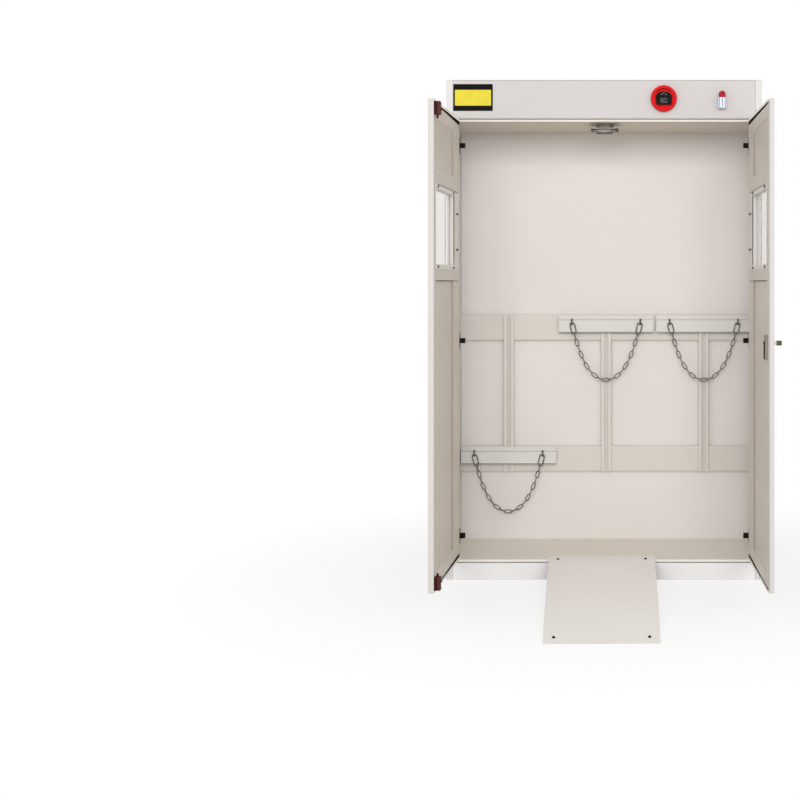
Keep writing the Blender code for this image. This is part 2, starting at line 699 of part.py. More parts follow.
def fan():
    """Axial fan under the ceiling: round body on a square flange, motor spokes, rotor and domed guard."""
    y = FRONT + FAN_BEHIND_FRONT
    top = CEILING - SEAM
    bottom = top - FAN_HEIGHT
    flange = prism("Z", rounded(0.0, y, FAN_SIZE, FAN_SIZE, FAN_CORNER), bottom, bottom + FAN_FLANGE)
    frame = joined(flange, [rod("Z", 0.0, y, FAN_BODY_RADIUS, bottom + FAN_FLANGE / 2, top, sides=32)])
    frame = cut(frame, [rod("Z", 0.0, y, FAN_BORE_RADIUS, bottom - OVERRUN, top + OVERRUN, sides=32)])
    motor = [rod("Z", 0.0, y, FAN_HUB_RADIUS, top - FAN_MOTOR_HEIGHT, top - SEAM, sides=20)]
    for i in range(FAN_SPOKES):
        turn = Matrix.Rotation(2 * math.pi * i / FAN_SPOKES, 4, "Z")
        spoke = block((0.0, -FAN_SPOKE_WIDTH / 2, top - FAN_MOTOR_HEIGHT + SEAM),
                      ((FAN_BORE_RADIUS + FAN_BODY_RADIUS) / 2, FAN_SPOKE_WIDTH / 2, top - 2 * SEAM))
        spoke.transform(Matrix.Translation((0.0, y, 0.0)) @ turn)
        motor.append(spoke)
    piece("fan_frame", joined(frame, motor), "cast_aluminium")

    hub_top = top - FAN_MOTOR_HEIGHT - SEAM
    hub_bottom = bottom + 2 * GUARD_WIRE
    hub = rod("Z", 0.0, 0.0, FAN_HUB_RADIUS, hub_bottom, hub_top, sides=20)
    middle = (hub_bottom + hub_top) / 2
    tip = FAN_BORE_RADIUS - FAN_TIP_CLEARANCE
    blades = []
    for i in range(FAN_BLADES):
        half, thin = FAN_BLADE_CHORD / 2, FAN_BLADE_THICKNESS / 2
        blade = block((FAN_HUB_RADIUS - OVERRUN, -half, -thin), (tip * math.cos(half / tip), half, thin))
        turn = Matrix.Rotation(2 * math.pi * i / FAN_BLADES, 4, "Z")
        blade.transform(Matrix.Translation((0.0, 0.0, middle)) @ turn @ Matrix.Rotation(FAN_BLADE_PITCH, 4, "X"))
        blades.append(blade)
    rotor = joined(hub, blades)
    rotor.transform(Matrix.Translation((0.0, y, 0.0)))
    piece("fan_rotor", rotor, "black_plastic", origin=(0.0, y, middle))

    level = bottom - SEAM - GUARD_WIRE
    low = level - GUARD_DROP
    ear = (FAN_SIZE / 2 - GUARD_EAR) * math.sqrt(2)
    shoulder, knee = GUARD_SHOULDER_RADIUS, GUARD_FLAT_RADIUS
    outline = [(-ear, level), (-shoulder, level), (-knee, low), (knee, low), (shoulder, level), (ear, level)]
    upright = Vector((0.0, 0.0, 1.0))
    bars = []
    for turn in (math.pi / 4, 3 * math.pi / 4):
        along = Vector((math.cos(turn), math.sin(turn), 0.0))
        path = [Vector((0.0, y, height)) + reach * along for reach, height in outline]
        bars.append(wire(path, along.cross(upright), GUARD_WIRE, sides=6, closed=False))
    rings = [(knee * (i + 1) / GUARD_FLAT_RINGS, low) for i in range(GUARD_FLAT_RINGS)]
    rings += [((knee + shoulder) / 2, (low + level) / 2), (shoulder, level)]
    for radius, height in rings:
        path = [(a, b, height) for a, b in circle(0.0, y, radius, 20)]
        bars.append(wire(path, upright, GUARD_WIRE, sides=4))
    piece("fan_guard", joined(bars[0], bars[1:]), "zinc")


def alarm():
    """Round alarm instrument: a domed red bezel and a dark display set in its face."""
    z = CABINET_HEIGHT - ALARM_BELOW_TOP
    back = FRONT - SEAM
    face = back - ALARM_DEPTH + ALARM_FACE_SINK
    rim = back - ALARM_DEPTH
    half_rim = ALARM_RIM / 2
    outside = [(0.0, rim + ALARM_FACE_SINK), (ALARM_FACE_RADIUS, rim + ALARM_FACE_SINK),
               (ALARM_FACE_RADIUS + half_rim / 2, rim), (ALARM_FACE_RADIUS + half_rim, rim),
               (ALARM_RADIUS - half_rim / 2, rim + half_rim), (ALARM_RADIUS, rim + ALARM_RIM + half_rim),
               (ALARM_RADIUS, back), (0.0, back)]
    piece("alarm_bezel", turned("Y", z, ALARM_X, outside, 36), "alarm_red")
    width, height = DISPLAY_WIDTH / 2, DISPLAY_HEIGHT / 2
    shoulder = height * DISPLAY_SHOULDER_SHARE
    foot = width * DISPLAY_FOOT_SHARE
    steps = 12
    arch = [(z + shoulder + (height - shoulder) * math.sin(math.pi * i / steps),
             ALARM_X + width * math.cos(math.pi * i / steps)) for i in range(steps + 1)]
    outline = (arch + [(z - height, ALARM_X - foot), (z - height, ALARM_X + foot)])[::-1]
    piece("alarm_display", prism("Y", outline, face - SEAM - DISPLAY_THICKNESS, face - SEAM), "display_black")


def beacon():
    """Warning beacon: a ribbed column on a back pad, under a domed red lens."""
    y = FRONT - SEAM - BEACON_PAD - BEACON_BASE_RADIUS
    top = BEACON_BASE_BOTTOM + BEACON_BASE_HEIGHT
    column = rod("Z", BEACON_X, y, BEACON_BASE_RADIUS, BEACON_BASE_BOTTOM, top, sides=20)
    pad = block((BEACON_X - BEACON_BASE_RADIUS / 2, y, BEACON_BASE_BOTTOM + BEACON_PAD),
                (BEACON_X + BEACON_BASE_RADIUS / 2, FRONT - SEAM, top - BEACON_PAD))
    piece("beacon_base", joined(column, [pad]), "beacon_white")
    start = top + SEAM
    shoulder = start + BEACON_LENS_HEIGHT - BEACON_LENS_RADIUS
    steps = 5
    turns = [math.pi / 2 * i / steps for i in range(steps)]
    dome = [(BEACON_LENS_RADIUS * math.cos(t), shoulder + BEACON_LENS_RADIUS * math.sin(t)) for t in turns]
    outside = [(0.0, start), (BEACON_LENS_RADIUS, start)] + dome + [(0.0, start + BEACON_LENS_HEIGHT)]
    piece("beacon_lens", turned("Z", BEACON_X, y, outside, 20), "beacon_red")


def notice_plate():
    """Blank plate near the header's left end."""
    x = -STILE_EDGE + SEAM + NOTICE_FROM_STILE + NOTICE_WIDTH / 2
    z = CABINET_HEIGHT - NOTICE_BELOW_TOP - NOTICE_HEIGHT / 2
    outline = rounded(z, x, NOTICE_HEIGHT, NOTICE_WIDTH, NOTICE_CORNER)
    piece("notice_plate", prism("Y", outline, FRONT - SEAM - NOTICE_THICKNESS, FRONT - SEAM), "notice_black")


def ramp():
    """Loading ramp: a tongue on the floor's front edge and a tapering plate down to the ground."""
    bend_y, foot_y = -RAMP_TONGUE_OVERHANG, -RAMP_REACH
    top = FLOOR_HEIGHT + SEAM + RAMP_SHEET
    high, low = RAMP_TOP_WIDTH / 2, RAMP_FOOT_WIDTH / 2

    def on_slope(y):
        """Row of the sloping plate at a distance in front: its place, half width and height."""
        share = (y - bend_y) / (foot_y - bend_y)
        return y, high + (low - high) * share, top + (RAMP_SHEET - top) * share

    rows = [(RAMP_TONGUE, high, top), (bend_y, high, top), on_slope(bend_y - RAMP_FLANGE),
            on_slope(foot_y + RAMP_FLANGE_STOP), (foot_y, low, RAMP_SHEET)]
    bm = bmesh.new()
    left = [bm.verts.new((-half, y, z)) for y, half, z in rows]
    right = [bm.verts.new((half, y, z)) for y, half, z in rows]
    for i in range(len(rows) - 1):
        bm.faces.new((left[i + 1], right[i + 1], right[i], left[i]))
    for side, edge in ((-1, left), (1, right)):
        heel = bm.verts.new(edge[2].co - Vector((0.0, 0.0, RAMP_FLANGE)))
        toe = bm.verts.new(edge[3].co - Vector((0.0, 0.0, 2 * RAMP_SHEET)))
        corners = (edge[2], edge[3], toe, heel)
        bm.faces.new(corners if side > 0 else corners[::-1])
    bmesh.ops.recalc_face_normals(bm, faces=bm.faces)
    if sum(face.normal.z for face in bm.faces) < 0.0:
        bmesh.ops.reverse_faces(bm, faces=bm.faces)
    plate = folded(bm, RAMP_SHEET, RAMP_SHEET + SEAM)
    holes = []
    hole_y = foot_y * RAMP_FOOT_HOLE_SHARE
    for side in (-1, 1):
        near = side * high * RAMP_HOLE_SPREAD_SHARE
        far = side * low * RAMP_HOLE_SPREAD_SHARE
        holes.append(rod("Z", near, bend_y / 2, RAMP_HOLE_RADIUS, top - OVERRUN - RAMP_SHEET, top + OVERRUN, 10))
        holes.append(rod("Z", far, hole_y, RAMP_HOLE_RADIUS, 0.0, FLOOR_HEIGHT, 10))
    plate = cut(plate, holes)
    obj = piece("ramp", plate, "enamel_kick")
    obj.location = (RAMP_SHIFT, FRONT, 0.0)
    obj.rotation_euler.z = RAMP_SKEW


def hinge_heights():
    """Centres of the three hinges on a door."""
    low = DOOR_BOTTOM + HINGE_ABOVE_DOOR_BOTTOM
    high = DOOR_TOP - HINGE_BELOW_DOOR_TOP
    return {"bottom": low, "middle": (low + high) / 2, "top": high}


def frame_leaf(z):
    """Frame half of a lift-off hinge, about its own axis: knuckle, pin, leaf and stop block."""
    half = HINGE_HEIGHT / 2
    outer = -DOOR_EDGE + SEAM
    wing_y = DOOR_BACK + OVERRUN
    path = [(outer + SHEET, 0.0), (outer + SHEET, wing_y), (outer + HINGE_WING, wing_y)]
    leaf = profile("Z", path, z - half, z + half, bend=SHEET / 2)
    knuckle = rod("Z", 0.0, 0.0, BARREL_RADIUS, z - half, z - SEAM / 2)
    pin = rod("Z", 0.0, 0.0, PIN_RADIUS, z - half + SHEET, z + half - SHEET)
    end = outer + HINGE_WING
    stop = block((end - SHEET, wing_y + SEAM / 2, z - STOP_BLOCK_HEIGHT / 2),
                 (end + STOP_BLOCK_WIDTH, wing_y + STOP_BLOCK_DEPTH, z + STOP_BLOCK_HEIGHT / 2))
    notch = block((-BARREL_RADIUS - OVERRUN, -BARREL_RADIUS - OVERRUN, z - SEAM / 2),
                  (BARREL_RADIUS + OVERRUN, BARREL_RADIUS + BARREL_CLEARANCE, z + half + OVERRUN))
    leaf = cut(leaf, [notch])
    return joined(leaf, [knuckle, stop, pin])


def door_leaf(z):
    """Door half of a lift-off hinge: a bored knuckle and a leaf on the door's edge."""
    half = HINGE_HEIGHT / 2
    low, high = z + SEAM / 2, z + half
    inner = DOOR_EDGE - SEAM
    leaf = block((inner - SHEET, 0.0, low), (inner, DOOR_BACK - OVERRUN, high))
    knuckle = rod("Z", 0.0, 0.0, BARREL_RADIUS, low + SEAM / 4, high - SEAM / 4)
    bore = rod("Z", 0.0, 0.0, PIN_RADIUS + SEAM, low - OVERRUN, high + OVERRUN)
    return cut(joined(leaf, [knuckle]), [bore])


def door_skin(holes):
    """Outer skin of a door, a pan with its walls turned in, window and other holes cut."""
    left, right = DOOR_EDGE, DOOR_EDGE + DOOR_WIDTH
    corners = [(left, DOOR_FACE, DOOR_BOTTOM), (right, DOOR_FACE, DOOR_BOTTOM), (right, DOOR_FACE, DOOR_TOP),
               (left, DOOR_FACE, DOOR_TOP)]
    pan = tray(corners, (0.0, DOOR_THICKNESS, 0.0))
    return cut(pan, [window_hole(0.0)] + holes)


def window_hole(margin):
    """Cutter for the window, larger than the opening by a margin all round."""
    left = DOOR_EDGE + WINDOW_FROM_HINGE - margin
    right = left + WINDOW_WIDTH + 2 * margin
    low, high = WINDOW_BOTTOM - margin, WINDOW_BOTTOM + WINDOW_HEIGHT + margin
    return block((left, DOOR_FACE - OVERRUN, low), (right, DOOR_BACK + OVERRUN, high))


def inner_skin(holes):
    """Inner skin of a door with two pressed recesses, set between the outer skin's walls."""
    left = DOOR_EDGE + SHEET + SEAM
    right = DOOR_EDGE + DOOR_WIDTH - SHEET - SEAM
    bottom, top = DOOR_BOTTOM + INNER_SKIN_STOP, DOOR_TOP - INNER_SKIN_STOP
    start, end = DOOR_EDGE + BORDER_HINGE_SIDE, right - BORDER_FREE_SIDE
    columns = [left, start, start + PRESS_SLOPE, end - PRESS_SLOPE, end, right]
    rows = [bottom]
    for low, high in ((bottom + LOWER_PRESS_MARGIN, LOWER_PRESS_TOP), (UPPER_PRESS_BOTTOM, top - UPPER_PRESS_MARGIN)):
        rows += [low, low + PRESS_SLOPE, high - PRESS_SLOPE, high]
    rows.append(top)
    pressed_rows = {2, 3, 6, 7}
    bm = bmesh.new()
    grid = []
    for j, z in enumerate(rows):
        line = []
        for i, x in enumerate(columns):
            sunk = PRESS_DEPTH if i in (2, 3) and j in pressed_rows else 0.0
            line.append(bm.verts.new((x, DOOR_BACK - sunk, z)))
        grid.append(line)
    for j in range(len(rows) - 1):
        for i in range(len(columns) - 1):
            bm.faces.new((grid[j][i], grid[j + 1][i], grid[j + 1][i + 1], grid[j][i + 1]))
    obj = new_object("press_shape", bm)
    skin = obj.modifiers.new("skin", "SOLIDIFY")
    skin.thickness = SHEET
    skin.offset = -1.0
    skin.use_even_offset = True
    sheet = settled(obj)
    return cut(sheet, [window_hole(FRAME_CLEARANCE)] + holes)


def window_frame():
    """Retaining frame on the inner skin, with reveal walls down to the pane."""
    left = DOOR_EDGE + WINDOW_FROM_HINGE
    right = left + WINDOW_WIDTH
    low, high = WINDOW_BOTTOM, WINDOW_BOTTOM + WINDOW_HEIGHT
    y = DOOR_BACK + 2 * SEAM + SHEET
    pane = DOOR_FACE + SHEET + 2 * SEAM + GLASS_THICKNESS
    bm = bmesh.new()
    inner = [(left, low), (right, low), (right, high), (left, high)]
    outer = [(left - FRAME_HINGE_SIDE, low - FRAME_RAIL), (right + FRAME_FREE_SIDE, low - FRAME_RAIL),
             (right + FRAME_FREE_SIDE, high + FRAME_RAIL), (left - FRAME_HINGE_SIDE, high + FRAME_RAIL)]
    rim = [bm.verts.new((x, y, z)) for x, z in outer]
    lip = [bm.verts.new((x, y, z)) for x, z in inner]
    foot = [bm.verts.new((x, pane, z)) for x, z in inner]
    for i in range(4):
        j = (i + 1) % 4
        bm.faces.new((rim[j], rim[i], lip[i], lip[j]))
        bm.faces.new((lip[j], lip[i], foot[i], foot[j]))
    return folded(bm, bend=SHEET)


def window_glass():
    """Pane behind the outer skin, held all round by the retaining frame."""
    left = DOOR_EDGE + WINDOW_FROM_HINGE - GLASS_OVERLAP
    right = left + WINDOW_WIDTH + 2 * GLASS_OVERLAP
    low, high = WINDOW_BOTTOM - GLASS_OVERLAP, WINDOW_BOTTOM + WINDOW_HEIGHT + GLASS_OVERLAP
    y = DOOR_FACE + SHEET + SEAM
    return block((left, y, low), (right, y + GLASS_THICKNESS, high))


def door_axis(name, mirrored):
    """Empty on a door's hinge axis, turned to the angle at which the door stands open."""
    side = 1 if mirrored else -1
    empty = bpy.data.objects.new(name, None)
    bpy.context.collection.objects.link(empty)
    empty.location = (side * AXIS_X, AXIS_Y, 0.0)
    empty.rotation_euler.z = RIGHT_OPEN_ANGLE if mirrored else -LEFT_OPEN_ANGLE
    return empty


def surface_bolt(end, axis):
    """Surface bolt at the left door's free edge: housing and sliding rod, at the top or the bottom."""
    x = DOOR_EDGE + DOOR_WIDTH - BOLT_FROM_EDGE
    face = DOOR_BACK + SEAM
    y = DOOR_BACK + BOLT_HOUSING_DEPTH / 2
    sign = 1 if end == "top" else -1
    tip = DOOR_TOP - BOLT_END_MARGIN if end == "top" else DOOR_BOTTOM + BOLT_END_MARGIN
    heel = tip - sign * BOLT_HOUSING_HEIGHT
    half = BOLT_HOUSING_WIDTH / 2
    housing = prism("Z", rounded(x, face + BOLT_HOUSING_DEPTH / 2, 2 * half, BOLT_HOUSING_DEPTH, OVERRUN),
                    min(tip, heel), max(tip, heel))
    bore = rod("Z", x, y, BOLT_RADIUS + RUNNING_GAP, min(tip, heel) - OVERRUN, max(tip, heel) + OVERRUN)
    stud = (tip + heel) / 2 - sign * BOLT_TRAVEL / 2
    room = BOLT_STUD_RADIUS + RUNNING_GAP
    slot_ends = sorted((stud - sign * room, stud + sign * (BOLT_TRAVEL + room)))
    slot = block((x - room, y, slot_ends[0]), (x + room, face + BOLT_HOUSING_DEPTH + OVERRUN, slot_ends[1]))
    piece(f"{end}_bolt_housing", cut(housing, [bore, slot]), "oxide_red", parent=axis)
    tail = heel - sign * BOLT_TAIL
    shaft = rod("Z", x, y, BOLT_RADIUS, min(tip, tail), max(tip, tail))
    thumb = rod("Y", stud, x, BOLT_STUD_RADIUS, y, y + BOLT_STUD_REACH, sides=8)
    piece(f"{end}_bolt", joined(shaft, [thumb]), "oxide_red", parent=axis, origin=(x, y, stud))


def lock_holes():
    """Cutters for the spindle and the key plug through the right door's skins and lock case."""
    x = DOOR_EDGE + DOOR_WIDTH - LOCK_FROM_EDGE
    near, far = DOOR_FACE - OVERRUN, DOOR_BACK + LOCK_CASE_DEPTH + OVERRUN
    return [rod("Y", LOCK_KNOB_HEIGHT, x, SPINDLE_RADIUS + RUNNING_GAP, near, far),
            rod("Y", LOCK_KNOB_HEIGHT - KEY_DROP, x, KEY_PLUG_RADIUS + RUNNING_GAP, near, far)]


def lock(axis):
    """Lock of the right door: case, knob with its spindle, cam behind the case, and key plug."""
    x = DOOR_EDGE + DOOR_WIDTH - LOCK_FROM_EDGE
    z = LOCK_KNOB_HEIGHT
    case_front = DOOR_BACK + SEAM
    case_back = case_front + LOCK_CASE_DEPTH
    outline = rounded(z + LOCK_CASE_RISE - LOCK_CASE_HEIGHT / 2, x, LOCK_CASE_HEIGHT, LOCK_CASE_WIDTH, OVERRUN)
    case = cut(prism("Y", outline, case_front, case_back), lock_holes())
    piece("lock_case", case, "zinc", parent=axis, mirrored=True)

    cam_front = case_back + SEAM
    cam_back = cam_front + CAM_THICKNESS
    spindle_end = cam_back + CAM_CLEARANCE
    waist = KNOB_RADIUS * KNOB_WAIST_SHARE
    end, heel = DOOR_FACE - KNOB_LENGTH, DOOR_FACE - KNOB_NECK
    edge = KNOB_RADIUS - waist
    grip = [(0.0, end), (waist, end), (KNOB_RADIUS, end + edge), (KNOB_RADIUS, heel - edge), (waist, heel),
            (KNOB_NECK_RADIUS, heel), (KNOB_NECK_RADIUS, DOOR_FACE - SEAM), (SPINDLE_RADIUS, DOOR_FACE - SEAM),
            (SPINDLE_RADIUS, spindle_end), (0.0, spindle_end)]
    piece("lock_knob", turned("Y", z, x, grip, 20), "bronze_knob", parent=axis, mirrored=True,
          origin=(x, DOOR_FACE, z))

    half = CAM_WIDTH / 2
    outline = [(z - CAM_LENGTH + half / 2, x - half), (z, x - half), (z + half, x), (z, x + half),
               (z - CAM_LENGTH + half / 2, x + half), (z - CAM_LENGTH, x)]
    cam = prism("Y", outline, cam_front, cam_back)
    bore = rod("Y", z, x, SPINDLE_RADIUS + SEAM, cam_front - OVERRUN, cam_back + OVERRUN)
    piece("lock_cam", cut(cam, [bore]), "zinc", parent=axis, mirrored=True, origin=(x, cam_front, z))

    key_z = z - KEY_DROP
    shank = KEY_PLUG_RADIUS
    plug = [(0.0, DOOR_FACE - KEY_PLUG_PROUD), (shank, DOOR_FACE - KEY_PLUG_PROUD), (shank, case_back - OVERRUN),
            (0.0, case_back - OVERRUN)]
    piece("key_plug", turned("Y", key_z, x, plug, BARREL_SIDES), "zinc", parent=axis, mirrored=True,
          origin=(x, DOOR_FACE, key_z))


def door(side, mirrored):
    """A door with its window, and its three hinges with their frame halves on the stile."""
    axis = door_axis(f"{side}_door_axis", mirrored)
    placed = {"parent": axis, "mirrored": mirrored}
    holes = lock_holes() if mirrored else []
    piece(f"{side}_door_skin", door_skin(holes), "enamel", **placed)
    holes = lock_holes() if mirrored else []
    piece(f"{side}_door_inner_skin", inner_skin(holes), "enamel", **placed)
    piece(f"{side}_window_frame", window_frame(), "enamel", **placed)
    piece(f"{side}_window_glass", window_glass(), "glass", **placed)
    for level, z in hinge_heights().items():
        piece(f"{side}_hinge_{level}_door_leaf", door_leaf(z), "black_steel", **placed)
        fixed = frame_leaf(z)
        fixed.transform(Matrix.Translation((-AXIS_X, AXIS_Y, 0.0)))
        piece(f"{side}_hinge_{level}_frame_leaf", fixed, "black_steel", mirrored=mirrored)
    return axis


def build():
    """Make every sub-part of the cabinet."""
    clear_scene()
    side_panel("left_side_panel", mirrored=False)
    side_panel("right_side_panel", mirrored=True)
    back_panel()
    top_panel()
    header_fascia()
    ceiling_panel()
    floor_panel()
    kick_plate()
    base_pan()
    rail("lower_rail", LOWER_RAIL_BOTTOM)
    rail("upper_rail", UPPER_RAIL_BOTTOM)
    bays = [("left", -BAY_PITCH, LOWER_RAIL_BOTTOM), ("centre", 0.0, UPPER_RAIL_BOTTOM),
            ("right", BAY_PITCH, UPPER_RAIL_BOTTOM)]
    for bay, x, rail_bottom in bays:
        guide_track(f"{bay}_guide_track", x)
        height = bracket(f"{bay}_bracket", x, rail_bottom)
        chain(f"{bay}_chain", x, height)
    fan()
    alarm()
    beacon()
    notice_plate()
    left_axis = door("left", mirrored=False)
    right_axis = door("right", mirrored=True)
    surface_bolt("top", left_axis)
    surface_bolt("bottom", left_axis)
    lock(right_axis)
    ramp()


build()
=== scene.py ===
import math

import bmesh
import bpy
from mathutils import Matrix, Vector


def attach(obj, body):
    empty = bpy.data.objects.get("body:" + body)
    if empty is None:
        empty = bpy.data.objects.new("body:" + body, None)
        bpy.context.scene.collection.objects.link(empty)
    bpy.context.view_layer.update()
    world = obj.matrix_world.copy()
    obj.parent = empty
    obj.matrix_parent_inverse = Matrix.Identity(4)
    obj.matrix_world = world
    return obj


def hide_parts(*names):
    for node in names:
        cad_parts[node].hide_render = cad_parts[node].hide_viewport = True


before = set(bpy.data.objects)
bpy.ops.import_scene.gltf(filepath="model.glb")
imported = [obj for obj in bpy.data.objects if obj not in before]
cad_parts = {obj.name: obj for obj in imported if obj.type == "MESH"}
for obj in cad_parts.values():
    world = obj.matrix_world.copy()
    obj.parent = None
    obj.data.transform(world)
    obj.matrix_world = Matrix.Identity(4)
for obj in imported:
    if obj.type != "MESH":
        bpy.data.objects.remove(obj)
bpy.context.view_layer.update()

# The two coordinates across each axis and the one along it
ACROSS = {"X": "YZX", "Y": "ZXY", "Z": "XYZ"}

# Camera
CAMERA_PLACE = (0.11, -5.316, 1.1202)
CAMERA_LENS = 60.255
CAMERA_SENSOR = 36.0
CAMERA_SHIFT = (-0.29125, -0.14375)

# Doors, in each door's own frame: X from the hinge axis to the free edge, Y into the cabinet
HINGE_X = 0.5732
HINGE_Y = -0.229
LEFT_OPEN = math.radians(91.3)
RIGHT_OPEN = math.radians(91.8)
SKIN_FACE = 0.024
FRAME_FACE = 0.0258
GLASS_FACE = 0.0105
DOOR_FACE = 0.004
FREE_EDGE = 0.5717
DOOR_LOW = 0.0795
DOOR_HIGH = 1.750
WINDOW_X = (0.1498, 0.5307)
WINDOW_Z = (1.192, 1.450)
FRAME_SCREW_X = (0.494, 0.155)
FRAME_SCREW_Z = (1.458, 1.183)
TALL_SCREW_X = 0.080
TALL_SCREW_Z = (1.385, 1.252)
PRESS_X = 0.1498
PRESS_DEPTH = 0.006
PRESSED = ((0.1440, 1.1325), (1.5225, 1.6855))
LOCK_FROM_EDGE = 0.040
LOCK_Z = 0.9226
KEY_BELOW_LOCK = 0.0526
KNOB_RADIUS = 0.0085
CASE_SCREW_Z = 0.9440
BOLT_FROM_EDGE = 0.020
BOLT_HEIGHT = 0.045
BOLT_LOWS = {"top": 1.697, "bottom": 0.0875}

# Hinge screws, in the cabinet's own frame
HINGE_HEIGHTS = (0.1625, 0.90775, 1.653)
HINGE_SCREW_RISE = 0.023
HINGE_SCREW_X = 0.5545
HINGE_SCREW_Y = -0.2032

# Brackets and chains
BAYS = {"left": (-0.3992, 0.4580), "centre": (0.0, 0.9960), "right": (0.3992, 0.9960)}
BRACKET_FRONT = 0.1605
BRACKET_HALF = 0.1935
BRACKET_HEIGHT = 0.0720
BRACKET_FOLD = 0.0175
BRACKET_ROOT = BRACKET_FRONT + 0.0006
EYE_AXIS_Y = 0.1542
EYE_BELOW_TOP = 0.027
EYE_REACH = 0.0085
EYE_WIRE = 0.0027
EYE_SPREAD = 0.280
CHAIN_BELOW_TOP = 0.0302
CHAIN_LENGTH = 0.580
LINK_COUNT = 19
LINK_WIDTH = 0.0165
LINK_WIRE = 0.0021
RING_LENGTH = 0.052
RING_WIDTH = 0.024
RING_WIRE = 0.0025
LINK_BITE = 0.0009
WELD_SWELL = 1.22

# Header devices
FRONT = -0.2253
ALARM_X = 0.2270
ALARM_Z = 1.828
ALARM_DEPTH = 0.022
ALARM_DISH = 0.004
ALARM_RADIUS = 0.050
ALARM_CORNER = 0.0085
DISPLAY_WIDTH = 0.061
DISPLAY_HEIGHT = 0.050
BEACON_X = 0.4476
BEACON_Y = -0.2446
BEACON_LOW = 1.79
BEACON_TOP = 1.83
BEACON_RADIUS = 0.0165
BEACON_GROOVES = 8
LENS_RADIUS = 0.013
LENS_HEIGHT = 0.026
LENS_RIBS = 12
NOTICE_X = -0.4982
NOTICE_FACE = FRONT - 0.001

# Fan and lip under the ceiling
FAN_Y = -0.1
FAN_GUARD_LOW = 1.7114
FAN_GUARD_ROOT = 1.7219
FAN_GUARD_RADIUS = 0.052
FAN_GUARD_FLAT = 0.030
FAN_SCREW_REACH = 0.0485
FAN_SCREW_SEAT = 1.7232
CEILING_LIP_HALF = 0.5738

# Ramp, laid a little askew
RAMP_SHIFT = -0.0085
RAMP_SKEW = math.radians(1.3)
RAMP_Y = -0.225
RAMP_TOP = 0.0781
RAMP_TONGUE = 0.008
RAMP_SLOPE = 0.0841
STUD_PLACES = ((0.16646, -0.0040), (0.1517, -0.8602))
STUD_RADIUS = 0.0056
STUD_HEIGHT = 0.0062
STUD_LOW = 0.0013

# Studio: the floor turns white for the camera from its share near the object to its share far away
FLOOR_RADIUS = 14.0
FLOOR_Z = -0.0005
FLOOR_FADE = (0.8, 1.7)
FLOOR_SHARE = (0.74, 1.0)
AMBIENT = 0.64

# Lamps, by place, target, size, watts and whether glossy surfaces mirror them
LAMPS = {
    "front_lamp": ((0.2, -14.0, 4.2), (0.1, 0.0, 0.9), (8.0, 4.4), 950.0, False),
    "left_lamp": ((-3.4, -3.6, 3.2), (0.1, 0.0, 1.0), (1.2, 1.2), 13.0, True),
    "right_lamp": ((3.6, -3.6, 3.2), (0.1, 0.0, 1.0), (1.2, 1.2), 18.0, True),
}

# Edges sharper than this angle, in degrees, stay sharp or get a bevel
EDGE_ANGLE = 35.0

# Powder coats, as display colours. Most are tones of the one grey coat, set lighter or darker surface by
# surface to stand in for the light each gets: painted light and shade
ENAMELS = {
    "header": (201, 197, 195),
    "side": (215, 212, 209),
    "outside": (208, 204, 201),
    "inside": (229, 224, 220),
    # darker and warmer than the inside tone: painted shade under the header
    "ceiling_painted_shade": (214, 203, 188),
    # near white, lighter than the coat: painted light on lips that lie in shade
    "lip_painted_light": (253, 247, 238),
    "floor": (238, 231, 221),
    "kick": (233, 231, 231),
    "ramp": (246, 242, 239),
    "rail": (219, 213, 206),
    "track": (220, 214, 207),
    "bracket": (220, 218, 214),
    "door": (204, 200, 197),
    "door_inside": (210, 202, 191),
    # darker tone for the pressed panels' hinge-side slopes: painted shade
    "door_painted_shade": (170, 160, 148),
    # darker than the door coat, to take back the light on the lock case and the brackets' creases: painted
    # shade
    "lock_case": (146, 137, 125),
    "window_frame": (226, 220, 214),
}


def srgb(red, green, blue):
    """Linear colour of an 8-bit display colour."""
    linear = []
    for value in (red, green, blue):
        share = value / 255
        linear.append(share / 12.92 if share <= 0.04045 else ((share + 0.055) / 1.055) ** 2.4)
    return tuple(linear)


def tinted(colour, factor):
    """The colour made lighter or darker by a factor."""
    return tuple(min(1.0, channel * factor) for channel in colour)


def calculated(tree, operation, first, second):
    """A maths node over two values."""
    made = tree.nodes.new("ShaderNodeMath")
    made.operation = operation
    tree.links.new(first, made.inputs[0])
    tree.links.new(second, made.inputs[1])
    return made.outputs["Value"]


def shown_as(tree, kind, share, base, top):
    """Send two shaders, mixed by a share, to an output node."""
    mix = tree.nodes.new("ShaderNodeMixShader")
    tree.links.new(share, mix.inputs["Fac"])
    tree.links.new(base, mix.inputs[1])
    tree.links.new(top, mix.inputs[2])
    output = tree.nodes.new(kind)
    tree.links.new(mix.outputs["Shader"], output.inputs["Surface"])


